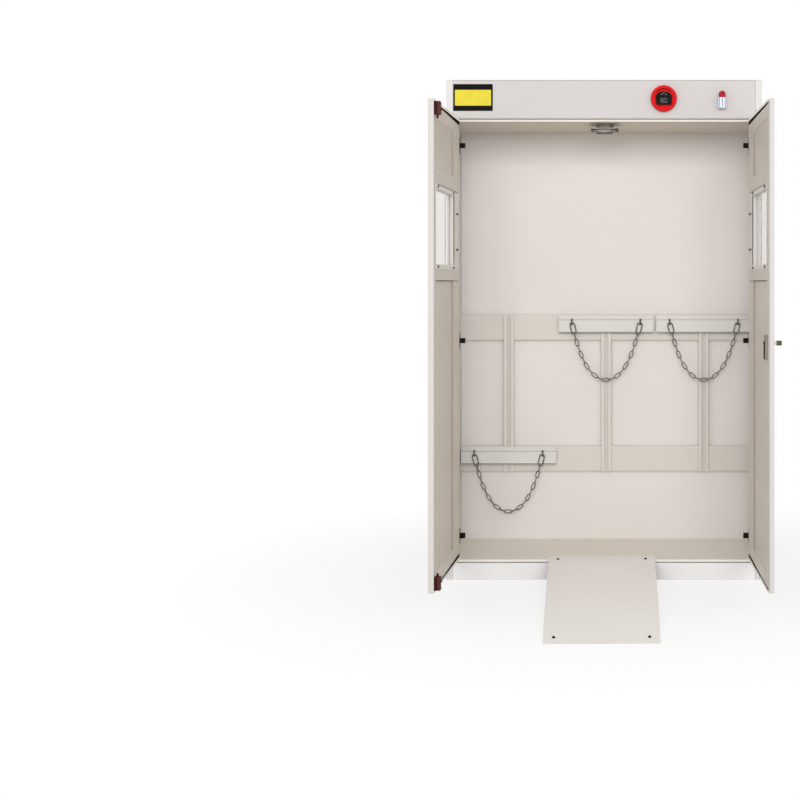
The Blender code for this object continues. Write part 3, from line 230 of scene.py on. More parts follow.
class Look:
    """A Principled material that is built up from procedural layers in the object's own metres."""

    def __init__(self, name, colour, roughness, metallic=0.0, coat=0.0, specular=0.5):
        self.material = bpy.data.materials.new(name)
        self.material.use_nodes = True
        self.tree = self.material.node_tree
        self.shader = self.tree.nodes["Principled BSDF"]
        self.colour = colour
        self.roughness = roughness
        self.shader.inputs["Base Color"].default_value = (*colour, 1.0)
        self.shader.inputs["Roughness"].default_value = roughness
        self.shader.inputs["Metallic"].default_value = metallic
        self.shader.inputs["Coat Weight"].default_value = coat
        self.shader.inputs["Coat Roughness"].default_value = 0.08
        self.shader.inputs["Specular IOR Level"].default_value = specular
        self.place = self.node("TexCoord").outputs["Object"]
        self.height = None

    def node(self, kind, **inputs):
        """A new shader node with some of its inputs set."""
        made = self.tree.nodes.new("ShaderNode" + kind)
        for name, value in inputs.items():
            made.inputs[name].default_value = value
        return made

    def link(self, output, socket):
        """Join a node's output to a socket."""
        self.tree.links.new(output, socket)

    def noise(self, scale, detail, stretch=None):
        """Noise at a number of cells per metre, stretched along the axes if asked."""
        made = self.node("TexNoise", Scale=scale, Detail=detail)
        place = self.place
        if stretch:
            mapping = self.node("Mapping", Scale=stretch)
            self.link(place, mapping.inputs["Vector"])
            place = mapping.outputs["Vector"]
        self.link(place, made.inputs["Vector"])
        return made.outputs["Fac"]

    def ramp(self, value, stops):
        """Two colours along a value, at their places."""
        made = self.node("ValToRGB")
        for element, (position, colour) in zip(made.color_ramp.elements, stops):
            element.position = position
            element.color = (*colour, 1.0)
        self.link(value, made.inputs["Fac"])
        return made.outputs["Color"]

    def ranged(self, value, low, high, start=0.25, end=0.75):
        """The value spread between two numbers."""
        made = self.node("MapRange")
        made.inputs["From Min"].default_value = start
        made.inputs["From Max"].default_value = end
        made.inputs["To Min"].default_value = low
        made.inputs["To Max"].default_value = high
        self.link(value, made.inputs["Value"])
        return made.outputs["Result"]

    def mixed(self, share, base, top):
        """Two colours mixed by a share that varies over the surface."""
        made = self.tree.nodes.new("ShaderNodeMix")
        made.data_type = "RGBA"
        self.link(share, made.inputs[0])
        for value, socket in ((base, made.inputs[6]), (top, made.inputs[7])):
            if isinstance(value, tuple):
                socket.default_value = (*value, 1.0)
            else:
                self.link(value, socket)
        return made.outputs[2]

    def blotches(self, scale, spread):
        """Base colour that drifts a little lighter and darker."""
        low, high = tinted(self.colour, 1.0 - spread), tinted(self.colour, 1.0 + spread)
        self.paint = self.ramp(self.noise(scale, 3.0), [(0.3, low), (0.7, high)])
        self.link(self.paint, self.shader.inputs["Base Color"])

    def edge_wear_and_highlight(self, colour, radius, amount, scale):
        """Another colour along the edges, broken up by noise: rubbed wear where it is bare metal, a painted
        edge highlight where it is a lighter tint of the coat.
        """
        worn_at, whole_at = 0.80, 0.985
        bevel = self.node("Bevel", Radius=radius)
        bevel.samples = 4
        geometry = self.node("NewGeometry")
        facing = self.node("VectorMath")
        facing.operation = "DOT_PRODUCT"
        self.link(bevel.outputs["Normal"], facing.inputs[0])
        self.link(geometry.outputs["Normal"], facing.inputs[1])
        edge = self.ranged(facing.outputs["Value"], amount, 0.0, worn_at, whole_at)
        breaks = self.ranged(self.noise(scale, 4.0), 0.0, 1.0, 0.38, 0.62)
        self.paint = self.mixed(calculated(self.tree, "MULTIPLY", edge, breaks), self.paint, colour)
        self.link(self.paint, self.shader.inputs["Base Color"])

    def polish(self, scale, spread):
        """Roughness that drifts about its value."""
        low, high = self.roughness - spread, self.roughness + spread
        self.link(self.ranged(self.noise(scale, 3.0), low, high), self.shader.inputs["Roughness"])

    def grain(self, value, strength, depth):
        """Bump from a value, laid over the bump that is there."""
        made = self.node("Bump", Strength=strength, Distance=depth)
        self.link(value, made.inputs["Height"])
        if self.height:
            self.link(self.height, made.inputs["Normal"])
        self.height = made.outputs["Normal"]
        self.link(self.height, self.shader.inputs["Normal"])


def enamel(name, colour):
    """Powder coat: orange peel, a faint drift of the colour and a lighter tint along the edges, broken up by
    noise, as a painted edge highlight.
    """
    look = Look(name, colour, 0.40, specular=0.45)
    look.blotches(scale=2.2, spread=0.018)
    # lighter tint of the coat along the edges: painted edge highlight
    look.edge_wear_and_highlight(tinted(colour, 1.12), radius=0.0012, amount=0.5, scale=90.0)
    look.polish(scale=9.0, spread=0.05)
    look.grain(look.noise(420.0, 2.0), strength=0.25, depth=0.00025)
    look.grain(look.noise(6.0, 1.0), strength=0.10, depth=0.0012)
    return look.material


def metal(name, colour, roughness, scale=700.0, spread=0.08, drift=0.10):
    """Plated or cast metal with a fine grain and a patchy shine."""
    look = Look(name, colour, roughness, metallic=1.0)
    look.blotches(scale=60.0, spread=drift)
    look.polish(scale=160.0, spread=spread)
    look.grain(look.noise(scale, 3.0), strength=0.30, depth=0.00008)
    return look.material


def plastic(name, colour, roughness, coat=0.0, specular=0.5, scale=1200.0, depth=0.00005, drift=0.04):
    """Moulded plastic or rubber with a fine texture."""
    look = Look(name, colour, roughness, coat=coat, specular=specular)
    look.blotches(scale=35.0, spread=drift)
    look.polish(scale=70.0, spread=0.03)
    look.grain(look.noise(scale, 2.0), strength=0.25, depth=depth)
    return look.material


def painted(name, colour, roughness, bare):
    """Painted or blackened steel whose edges are rubbed back."""
    look = Look(name, colour, roughness, specular=0.16)
    look.blotches(scale=80.0, spread=0.22)
    look.edge_wear_and_highlight(bare, radius=0.0010, amount=0.7, scale=260.0)
    look.polish(scale=120.0, spread=0.08)
    look.grain(look.noise(600.0, 3.0), strength=0.35, depth=0.00012)
    return look.material


def pane_glass(name):
    """Clear float glass with a slight cast and a faint haze."""
    look = Look(name, (0.985, 0.995, 1.0), 0.0)
    look.shader.inputs["Transmission Weight"].default_value = 1.0
    look.shader.inputs["IOR"].default_value = 1.5
    streaks = look.noise(6.0, 2.0, stretch=(1.0, 1.0, 0.3))
    look.link(look.ranged(streaks, 0.0, 0.012), look.shader.inputs["Roughness"])
    return look.material


def make_materials():
    """Every finish, by a short name."""
    made = {name: enamel(f"enamel_{name}", srgb(*colour)) for name, colour in ENAMELS.items()}
    made.update({
        "glass": pane_glass("window_glass"),
        "black": painted("black_steel", (0.005, 0.0045, 0.004), 0.46, (0.035, 0.029, 0.025)),
        "red_paint": painted("oxide_red_paint", (0.075, 0.010, 0.009), 0.40, (0.22, 0.07, 0.06)),
        # the bolt covers' lighter red is a painted highlight and their darker red painted shade
        "bolt_red_painted_light": painted("oxide_red_painted_light", (0.115, 0.022, 0.020), 0.36, (0.30, 0.12, 0.10)),
        "bolt_red_painted_shade": painted("oxide_red_painted_shade", (0.026, 0.006, 0.006), 0.40, (0.10, 0.03, 0.028)),
        "fan_body": painted("fan_body_grey", (0.36, 0.34, 0.32), 0.45, (0.52, 0.50, 0.48)),
        "zinc": metal("zinc_plate", (0.56, 0.56, 0.55), 0.34),
        "dark_zinc": metal("dark_zinc", (0.20, 0.19, 0.18), 0.42),
        "chain": metal("chain_steel", (0.25, 0.245, 0.235), 0.32, scale=900.0, spread=0.10, drift=0.25),
        "bronze": metal("bronze_lacquer", (0.19, 0.16, 0.12), 0.42),
        "cover": plastic("motor_cover", srgb(232, 226, 217), 0.45),
        "blade": plastic("fan_blade_plastic", (0.012, 0.011, 0.010), 0.42, specular=0.3),
        "gasket": plastic("pale_gasket", srgb(214, 209, 207), 0.55, specular=0.3, scale=900.0, drift=0.05),
        "rubber": plastic("rubber", (0.012, 0.011, 0.010), 0.62, specular=0.25,
                          scale=900.0, depth=0.0001, drift=0.15),
        # near black, for the ramp's rubber studs and for the painted shade behind the door lips
        "near_black": plastic("black_studs_and_painted_shade", (0.0045, 0.0040, 0.0034), 0.90, specular=0.04,
                       scale=500.0, depth=0.0001, drift=0.2),
        # dark lines: real joints and the key slot, and painted shadow lines at the brackets' feet, the
        # window tops and the upper press edge
        "joint_and_shadow_line": plastic("dark_joints_and_painted_shadow", (0.040, 0.034, 0.028), 0.75, specular=0.2,
                        scale=500.0, depth=0.0001, drift=0.2),
        "red": plastic("alarm_red", srgb(211, 8, 11), 0.24, specular=0.26),
        # darker red for the alarm's arc and window rim: painted shade
        "red_painted_shade": plastic("alarm_red_painted_shade", srgb(92, 4, 7), 0.40, specular=0.2),
        "screen": plastic("smoked_screen", (0.0035, 0.0032, 0.0036), 0.30, specular=0.15,
                          scale=1500.0, depth=0.00001),
        "liquid_crystal": plastic("liquid_crystal", (0.012, 0.014, 0.012), 0.30, specular=0.25,
                                  scale=300.0, depth=0.00002, drift=0.3),
        "readout": plastic("readout_segments", (0.15, 0.16, 0.16), 0.4),
        "lamp": plastic("indicator_lamp", (0.58, 0.58, 0.56), 0.22, coat=0.3),
        "beacon_white": plastic("beacon_white", srgb(227, 234, 246), 0.32, coat=0.1),
        "beacon_grey": plastic("beacon_groove", srgb(88, 102, 124), 0.45),
        "beacon_red": plastic("beacon_lens", srgb(170, 4, 34), 0.20, coat=0.05, specular=0.28),
        "notice_black": plastic("notice_black", (0.0040, 0.0036, 0.0034), 0.50, specular=0.12,
                                scale=800.0, depth=0.00003, drift=0.2),
        "notice_yellow": plastic("notice_yellow", srgb(219, 202, 57), 0.40, specular=0.35,
                                 scale=800.0, depth=0.00003, drift=0.05),
    })
    return made


def dress(node, look):
    """Give a CAD node one of the finishes."""
    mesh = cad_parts[node].data
    mesh.materials.clear()
    mesh.materials.append(looks[look])


def add(name, bm, look, body, smooth=EDGE_ANGLE, bevel=0.0):
    """A new piece that rides on a body."""
    bmesh.ops.recalc_face_normals(bm, faces=bm.faces)
    mesh = bpy.data.meshes.new(name)
    bm.to_mesh(mesh)
    bm.free()
    obj = bpy.data.objects.new(name, mesh)
    bpy.context.scene.collection.objects.link(obj)
    mesh.materials.append(looks[look])
    if smooth:
        mesh.shade_smooth()
        mesh.set_sharp_from_angle(angle=math.radians(smooth))
    if bevel:
        rounding = obj.modifiers.new("edges", "BEVEL")
        rounding.width = bevel
        rounding.segments = 2
        rounding.limit_method = "ANGLE"
        rounding.angle_limit = math.radians(EDGE_ANGLE)
        rounding.harden_normals = True
    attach(obj, body)
    return obj


def point(axis, u, v, w):
    """A point from its two coordinates across an axis and its place along it."""
    coordinates = dict(zip(ACROSS[axis], (u, v, w)))
    return Vector([coordinates[letter] for letter in "XYZ"])


def merged(parts):
    """One bmesh that holds all the given ones."""
    whole = bmesh.new()
    for bm in parts:
        mesh = bpy.data.meshes.new("part")
        bm.to_mesh(mesh)
        bm.free()
        whole.from_mesh(mesh)
        bpy.data.meshes.remove(mesh)
    return whole


def prism(axis, outline, low, high):
    """A solid with a constant outline along an axis."""
    bm = bmesh.new()
    ends = [[bm.verts.new(point(axis, u, v, w)) for u, v in outline] for w in (low, high)]
    count = len(outline)
    bm.faces.new(reversed(ends[0]))
    bm.faces.new(ends[1])
    for i in range(count):
        j = (i + 1) % count
        bm.faces.new((ends[0][i], ends[0][j], ends[1][j], ends[1][i]))
    return bm


def block(low, high):
    """A rectangular solid between two corners."""
    outline = [(low[0], low[1]), (high[0], low[1]), (high[0], high[1]), (low[0], high[1])]
    return prism("Z", outline, low[2], high[2])


def circle(u, v, radius, sides):
    """Points round a circle."""
    turns = [2 * math.pi * (i + 0.5) / sides for i in range(sides)]
    return [(u + radius * math.cos(t), v + radius * math.sin(t)) for t in turns]


def rounded(u, v, width, height, corner):
    """A rectangle with rounded corners."""
    steps = 5
    outline = []
    for index, (su, sv) in enumerate([(1, 1), (-1, 1), (-1, -1), (1, -1)]):
        cu = u + su * (width / 2 - corner)
        cv = v + sv * (height / 2 - corner)
        for i in range(steps + 1):
            turn = math.pi / 2 * (index + i / steps)
            outline.append((cu + corner * math.cos(turn), cv + corner * math.sin(turn)))
    return outline


def skinned(bm, rings):
    """Faces between rings of vertices that follow one another."""
    for low, high in zip(rings, rings[1:]):
        for i in range(len(low)):
            j = (i + 1) % len(low)
            bm.faces.new(list(dict.fromkeys([low[i], low[j], high[j], high[i]])))
    return bm


def turned(axis, u, v, profile, sides):
    """A solid of revolution from (radius, height) points along the outside."""
    bm = bmesh.new()
    rings = []
    for radius, height in profile:
        if radius:
            rings.append([bm.verts.new(point(axis, a, b, height)) for a, b in circle(u, v, radius, sides)])
        else:
            rings.append([bm.verts.new(point(axis, u, v, height))] * sides)
    return skinned(bm, rings)


def fluted(axis, u, v, profile, sides, flutes, depth, turn=0.0):
    """A solid of revolution whose marked rings dip inwards at evenly spaced flutes."""
    sharpness = 6
    bm = bmesh.new()
    rings = []
    for radius, height, marked in profile:
        if not radius:
            rings.append([bm.verts.new(point(axis, u, v, height))] * sides)
            continue
        ring = []
        for i in range(sides):
            t = 2 * math.pi * i / sides
            dip = max(0.0, math.cos(flutes * (t - turn))) ** sharpness if marked else 0.0
            reach = radius - depth * dip
            ring.append(bm.verts.new(point(axis, u + reach * math.cos(t), v + reach * math.sin(t), height)))
        rings.append(ring)
    return skinned(bm, rings)


def wire(path, normal, radius, sides=8, closed=True):
    """A round wire along a flat path whose plane has the given normal."""
    bm = bmesh.new()
    normal = Vector(normal).normalized()
    points = [Vector(p) for p in path]
    count = len(points)
    rings = []
    for i, here in enumerate(points):
        before = points[i - 1] if closed or i else here
        after = points[(i + 1) % count] if closed or i < count - 1 else here
        side = (after - before).normalized().cross(normal)
        turns = [2 * math.pi * k / sides for k in range(sides)]
        spokes = [math.cos(t) * side + math.sin(t) * normal for t in turns]
        rings.append([bm.verts.new(here + radius * spoke) for spoke in spokes])
    for i in range(count if closed else count - 1):
        for k in range(sides):
            m = (k + 1) % sides
            ring, following = rings[i], rings[(i + 1) % count]
            bm.faces.new((ring[k], following[k], following[m], ring[m]))
    if not closed:
        bm.faces.new(rings[0])
        bm.faces.new(reversed(rings[-1]))
    return bm


def pan_head(axis, u, v, seat, direction, radius, height):
    """A domed screw head with a recess in its middle, standing on a face."""
    turns = [math.pi / 2 * i / 5 for i in range(5)]
    dome = [(radius * math.cos(t), height * math.sin(t)) for t in turns]
    hollow, bottom = radius * 0.34, height * 0.45
    profile = [(0.0, 0.0)] + dome + [(hollow, height), (hollow * 0.8, bottom), (0.0, bottom)]
    return turned(axis, u, v, [(r, seat + direction * h) for r, h in profile], 20)


def ball(centre, radius):
    """A small round bead."""
    turns = [math.pi * (k / 6 - 0.5) for k in range(1, 6)]
    arc = [(radius * math.cos(t), radius * math.sin(t)) for t in turns]
    outside = [(0.0, -radius)] + arc + [(0.0, radius)]
    return turned("Z", centre.x, centre.y, [(reach, centre.z + rise) for reach, rise in outside], 10)


def in_door(bm, side):
    """Move a piece from a door's own frame to where the open door holds it."""
    if side == "left":
        turn = Matrix.Rotation(-LEFT_OPEN, 4, "Z")
        bm.transform(Matrix.Translation((-HINGE_X, HINGE_Y, 0.0)) @ turn)
    else:
        mirror = Matrix.Scale(-1.0, 4, (1.0, 0.0, 0.0))
        turn = Matrix.Rotation(RIGHT_OPEN, 4, "Z")
        bm.transform(Matrix.Translation((HINGE_X, HINGE_Y, 0.0)) @ turn @ mirror)
    return bm


def dress_cabinet():
    """Finishes of the CAD nodes that stay."""
    groups = {
        "header": ["header_fascia"],
        "side": ["left_side_panel", "right_side_panel"],
        "outside": ["top_panel", "base_pan"],
        "inside": ["back_panel"],
        # the ceiling panel's darker, warmer tone is painted shade
        "ceiling_painted_shade": ["ceiling_panel"],
        "floor": ["floor_panel"],
        "kick": ["kick_plate"],
        "ramp": ["ramp"],
        "rail": ["lower_rail", "upper_rail"],
        "track": ["left_guide_track", "centre_guide_track", "right_guide_track"],
        "bracket": ["left_bracket", "centre_bracket", "right_bracket"],
        "door": ["left_door_skin", "right_door_skin"],
        "door_inside": ["left_door_inner_skin", "right_door_inner_skin"],
        # the lock case's darker tone is painted shade
        "lock_case": ["lock_case"],
        "window_frame": ["left_window_frame", "right_window_frame"],
        "glass": ["left_window_glass", "right_window_glass"],
        "red_paint": ["top_bolt", "bottom_bolt", "top_bolt_housing", "bottom_bolt_housing"],
        "zinc": ["key_plug"],
        "fan_body": ["fan_frame"],
        "blade": ["fan_rotor"],
        "notice_black": ["notice_plate"],
        "black": ["lock_cam"] + [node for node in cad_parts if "_hinge_" in node],
    }
    for look, nodes in groups.items():
        for node in nodes:
            dress(node, look)


def catenary(length, span):
    """Shape factor of a hanging chain, found by halving."""
    low, high = span / 20, span * 20
    for _ in range(60):
        shape = (low + high) / 2
        if 2 * shape * math.sinh(span / (2 * shape)) > length:
            low = shape
        else:
            high = shape
    return shape


def racetrack(length, width, steps):
    """Centre line of a link."""
    radius = width / 2
    reach = length / 2 - radius
    turns = [math.pi * i / steps for i in range(steps + 1)]
    right = [(reach + radius * math.sin(t), radius * math.cos(t)) for t in turns]
    return right + [(-u, -v) for u, v in right]


def hanging_point(along, shape):
    """Point of the hanging chain at a distance along it."""
    arc = along - CHAIN_LENGTH / 2
    x = shape * math.asinh(arc / shape)
    return Vector((x, 0.0, shape * math.cosh(x / shape)))


def chain(bay, x, top):
    """Welded chain links with a long ring at each end, in place of the plain CAD chain."""
    shape = catenary(CHAIN_LENGTH, EYE_SPREAD)
    level = shape * math.cosh(EYE_SPREAD / (2 * shape))
    ring_reach = RING_LENGTH - 2 * RING_WIRE
    hooked = RING_WIRE + LINK_WIRE - LINK_BITE
    linked = 2 * LINK_WIRE - LINK_BITE
    link_reach = (CHAIN_LENGTH - 2 * (ring_reach - hooked) + (LINK_COUNT - 1) * linked) / LINK_COUNT
    spans = [(0.0, ring_reach)]
    for i in range(LINK_COUNT):
        start = ring_reach - hooked + i * (link_reach - linked)
        spans.append((start, start + link_reach))
    spans.append((CHAIN_LENGTH - ring_reach, CHAIN_LENGTH))
    links, beads = [], []
    for i, (start, end) in enumerate(spans):
        a, b = hanging_point(start, shape), hanging_point(end, shape)
        is_ring = i in (0, len(spans) - 1)
        if is_ring:
            reach, width, radius = ring_reach, RING_WIDTH, RING_WIRE
        else:
            reach, width, radius = link_reach, LINK_WIDTH, LINK_WIRE
        along = (b - a).normalized()
        flat = Vector((0.0, 1.0, 0.0)) if i % 2 == 0 else Vector((0.0, 1.0, 0.0)).cross(along)
        across = flat.cross(along)
        middle = (a + b) / 2 + Vector((x, EYE_AXIS_Y, top - CHAIN_BELOW_TOP - level))
        track = racetrack(reach, width - 2 * radius, 8)
        path = [middle + u * along + v * across for u, v in track]
        links.append(wire(path, flat, radius))
        beads.append(ball(middle + (width / 2 - radius) * across, radius * WELD_SWELL))
    piece = add(f"{bay}_chain_links", merged(links + beads), "chain", f"{bay}_chain",
                smooth=60.0)
    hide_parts(f"{bay}_chain")


def eyes(bay, x, top):
    """Plated wire eyes over the bracket's staples, with a washer at each foot."""
    z = top - EYE_BELOW_TOP
    rim, face = BRACKET_FRONT - 0.0004, BRACKET_FRONT - 0.0012
    washer = [(0.0, BRACKET_ROOT), (0.0048, BRACKET_ROOT), (0.0052, rim), (0.0040, face), (0.0, face)]
    turns = [math.pi * i / 12 for i in range(13)]
    arc = [(EYE_AXIS_Y - EYE_REACH * math.sin(t), z + EYE_REACH * math.cos(t)) for t in turns]
    path = [(BRACKET_ROOT, z + EYE_REACH)] + arc + [(BRACKET_ROOT, z - EYE_REACH)]
    parts = []
    for centre in (x - EYE_SPREAD / 2, x + EYE_SPREAD / 2):
        bow = [(centre, y, height) for y, height in path]
        parts.append(wire(bow, (1.0, 0.0, 0.0), EYE_WIRE, sides=10, closed=False))
        for foot in (z + EYE_REACH, z - EYE_REACH):
            parts.append(turned("Y", foot, centre, washer, 20))
    add(f"{bay}_bracket_eyes", merged(parts), "dark_zinc", f"{bay}_bracket", smooth=50.0)


def bracket_lines(bay, x, top):
    """Painted shadow line near the foot of a bracket's front, and painted shade in a darker tone along the
    crease below its top band.
    """
    low, fold, half = top - BRACKET_HEIGHT, top - BRACKET_FOLD, BRACKET_HALF
    # Near-black strip near the foot: painted shadow line
    shadow_line = block((x - half, BRACKET_FRONT - 0.0001, low + 0.0018), (x + half, BRACKET_ROOT, low + 0.0042))
    add(f"{bay}_bracket_foot_shadow", shadow_line, "joint_and_shadow_line", f"{bay}_bracket")
    # Darker tone along the crease: painted shade
    crease = block((x - half, BRACKET_FRONT - 0.0003, fold - 0.0016),
                   (x + half, BRACKET_ROOT, fold - 0.0002))
    add(f"{bay}_bracket_crease_shade", crease, "lock_case", f"{bay}_bracket", bevel=0.0002)


def display_outline(grow):
    """Arched outline of the alarm's display, grown all round."""
    half, top = DISPLAY_WIDTH / 2 + grow, DISPLAY_HEIGHT / 2 + grow
    low, reach = ALARM_Z - top, DISPLAY_WIDTH * 0.4 + grow
    shoulder = DISPLAY_HEIGHT / 20
    turns = [math.pi * i / 28 for i in range(29)]
    arch = [(ALARM_Z + shoulder + (top - shoulder) * math.sin(t), ALARM_X + half * math.cos(t))
            for t in turns]
    return arch + [(low + 0.006, ALARM_X - half + 0.0022), (low + 0.0016, ALARM_X - reach - 0.0012),
                   (low, ALARM_X - reach + 0.0018), (low, ALARM_X + reach - 0.0018),
                   (low + 0.0016, ALARM_X + reach + 0.0012), (low + 0.006, ALARM_X + half - 0.0022)]


def alarm():
    """Round alarm: moulded bezel, a darker red arc and rim of painted shade round the window, smoked screen,
    dull panel, bars and three lamps.
    """
    rim = FRONT - ALARM_DEPTH
    face = rim + ALARM_DISH
    radius, corner = ALARM_RADIUS, ALARM_CORNER
    turns = [math.pi / 2 * i / 8 for i in range(8, -1, -1)]
    outside = [(0.0, face), (0.0362, face), (0.0372, rim + 0.0034), (0.0392, rim + 0.0006), (0.0402, rim)]
    outside += [(radius - corner + corner * math.cos(t), rim + corner - corner * math.sin(t)) for t in turns]
    outside += [(radius, FRONT - 0.0045), (radius - 0.0010, FRONT - 0.0038),
                (radius - 0.0010, FRONT - 0.0030), (radius, FRONT - 0.0022), (radius, FRONT), (0.0, FRONT)]
    bezel = add("alarm_housing", turned("Y", ALARM_Z, ALARM_X, outside, 96), "red", "cabinet",
                smooth=40.0)
    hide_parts("alarm_bezel")

    # Darker red arc above the window: painted shade under the bezel's rim
    sweep = [math.radians(42 + 4 * i) for i in range(25)]
    shade_arc = [(ALARM_Z + 0.0364 * math.sin(t), ALARM_X + 0.0364 * math.cos(t)) for t in sweep]
    shade_arc += [(ALARM_Z + 0.0332 * math.sin(t), ALARM_X + 0.0340 * math.cos(t)) for t in reversed(sweep)]
    add("alarm_shade_arc", prism("Y", shade_arc, face - 0.0022, face - 0.0001), "red_painted_shade", "cabinet",
        bevel=0.0006)

    # Darker red rim round the window: painted shade
    border = prism("Y", display_outline(0.0013), face - 0.0030, face - 0.0001)
    add("alarm_window_shade_rim", border, "red_painted_shade", "cabinet", bevel=0.0006)
    sheet = prism("Y", display_outline(-0.0004), face - 0.0036, face - 0.0004)
    screen = add("alarm_screen", sheet, "screen", "cabinet", bevel=0.0005)
    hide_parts("alarm_display")
    panel = rounded(ALARM_Z - 0.009, ALARM_X, 0.022, 0.033, 0.0015)
    add("alarm_panel", prism("Y", panel, face - 0.0040, face - 0.0034), "liquid_crystal", "cabinet",
        bevel=0.0002)
    bars = []
    start = ALARM_X - 0.0125
    for rise, reach in ((-0.0045, 0.022), (-0.0105, 0.014), (-0.0165, 0.025)):
        low = ALARM_Z + rise
        bars.append(block((start, face - 0.0043, low), (start + reach, face - 0.0039, low + 0.0022)))
    add("alarm_readout", merged(bars), "readout", "cabinet", smooth=0.0)
    lamps = [pan_head("Y", ALARM_Z + rise, ALARM_X + across, face - 0.0035, -1, 0.0018, 0.0012)
             for rise, across in ((0.0140, -0.0082), (0.0196, 0.0), (0.0140, 0.0082))]
    add("alarm_lamps", merged(lamps), "lamp", "cabinet")


def beacon():
    """Beacon: white column with grey strips in its grooves, on a back pad, and a ribbed red lens."""
    low, top, radius, sides = BEACON_LOW, BEACON_TOP, BEACON_RADIUS, 144
    column = [(0.0, low, False), (radius - 0.0015, low, False), (radius, low + 0.0015, False),
              (radius, low + 0.0035, False), (radius, low + 0.0045, True), (radius, top - 0.0045, True),
              (radius, top - 0.0035, False), (radius, top - 0.0015, False), (radius - 0.0022, top, False),
              (0.0, top, False)]
    body = fluted("Z", BEACON_X, BEACON_Y, column, sides, BEACON_GROOVES, 0.0022)
    pad = block((BEACON_X - 0.008, BEACON_Y, low + 0.003), (BEACON_X + 0.008, FRONT, top - 0.003))
    base = add("beacon_column", merged([body, pad]), "beacon_white", "cabinet", smooth=45.0)
    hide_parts("beacon_base")

    strips = []
    reach = radius - 0.0014
    for i in range(BEACON_GROOVES):
        turn = 2 * math.pi * i / BEACON_GROOVES
        x, y = BEACON_X + reach * math.cos(turn), BEACON_Y + reach * math.sin(turn)
        strips.append(prism("Z", circle(x, y, 0.0016, 12), low + 0.004, top - 0.003))
    add("beacon_groove_strips", merged(strips), "beacon_grey", "cabinet", smooth=45.0)

    start, radius = top + 0.0003, LENS_RADIUS
    shoulder = start + LENS_HEIGHT - radius
    turns = [math.pi / 2 * i / 10 for i in range(10)]
    dome = [(radius * math.cos(t), shoulder + radius * math.sin(t), t < 0.9) for t in turns]
    outside = [(0.0, start, False), (radius, start, False), (radius, start + 0.0018, False),
               (radius, start + 0.0026, True)] + dome + [(0.0, start + LENS_HEIGHT, False)]
    cap = fluted("Z", BEACON_X, BEACON_Y, outside, sides, LENS_RIBS, 0.0009, math.pi / LENS_RIBS)
    lens = add("beacon_cap", cap, "beacon_red", "cabinet", smooth=50.0)
    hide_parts("beacon_lens")


def notice():
    """Blank yellow field on the black plate, with a fine raised border."""
    field = prism("Y", rounded(1.8320, NOTICE_X, 0.0600, 0.1372, 0.0015), NOTICE_FACE - 0.0003,
                  NOTICE_FACE + 0.0002)
    add("notice_field", field, "notice_yellow", "cabinet", bevel=0.0001)
    outer = rounded(1.8330, NOTICE_X, 0.0985, 0.1465, 0.0018)
    border = wire([(u, NOTICE_FACE - 0.0001, w) for w, u in outer], (0.0, 1.0, 0.0), 0.0004, sides=6)
    add("notice_border", border, "notice_black", "cabinet", smooth=60.0)


def window_details(side):
    """Gasket, edge trim, screws, rivets, and a painted shadow line along the top of a door's window frame.
    """
    body = f"{side}_door"
    low, high = WINDOW_Z
    hinge, free = WINDOW_X

    pane = rounded((hinge + free) / 2, (low + high) / 2, free - hinge + 0.0010, high - low + 0.0010, 0.0020)
    gasket = wire([(u, GLASS_FACE + 0.0010, w) for u, w in pane], (0.0, 1.0, 0.0), 0.0016)
    add(f"{side}_pane_gasket", in_door(gasket, side), "gasket", body, smooth=60.0)

    edge = [(hinge - 0.0030, FRAME_FACE - 0.0002), (hinge + 0.0010, FRAME_FACE - 0.0008),
            (hinge + 0.0010, FRAME_FACE + 0.0010), (hinge + 0.0004, FRAME_FACE + 0.0018),
            (hinge - 0.0022, FRAME_FACE + 0.0018), (hinge - 0.0030, FRAME_FACE + 0.0012)]
    trim = prism("Z", edge, low + 0.002, high - 0.001)
    add(f"{side}_window_edge_trim", in_door(trim, side), "rubber", body, bevel=0.0003)

    screws = [(x, z, 0.0042) for z in FRAME_SCREW_Z for x in FRAME_SCREW_X]
    screws += [(TALL_SCREW_X, z, 0.0062) for z in TALL_SCREW_Z]
    heads = [pan_head("Y", z, x, FRAME_FACE, 1, 0.0048, height) for x, z, height in screws]
    add(f"{side}_window_screws", in_door(merged(heads), side), "black", body)
    rivets = [pan_head("Y", z, hinge - 0.012, FRAME_FACE, 1, 0.0030, 0.0012) for z in TALL_SCREW_Z]
    add(f"{side}_window_rivets", in_door(merged(rivets), side), "dark_zinc", body)

    # Near-black strip along the frame's top: painted shadow line
    shadow_line = block((0.052, FRAME_FACE - 0.0012, high + 0.0148), (0.507, FRAME_FACE + 0.0006, high + 0.0170))
    add(f"{side}_window_top_shadow", in_door(shadow_line, side), "joint_and_shadow_line", body, bevel=0.0003)


def skin_joint_and_shadow(side):
    """A dark joint across the inner skin's sheets, and a painted shadow line along the upper press's hinge
    edge.
    """
    front = SKIN_FACE + 0.0004
    parts = [block((0.030, SKIN_FACE - 0.0006, 1.1342), (0.520, front, 1.1362)),
             # the second strip, along the upper press's hinge edge, is a painted shadow line
             block((0.1480, SKIN_FACE - 0.0010, 1.522), (0.1489, front, 1.610))]
    add(f"{side}_skin_joint_and_shadow", in_door(merged(parts), side), "joint_and_shadow_line", f"{side}_door")


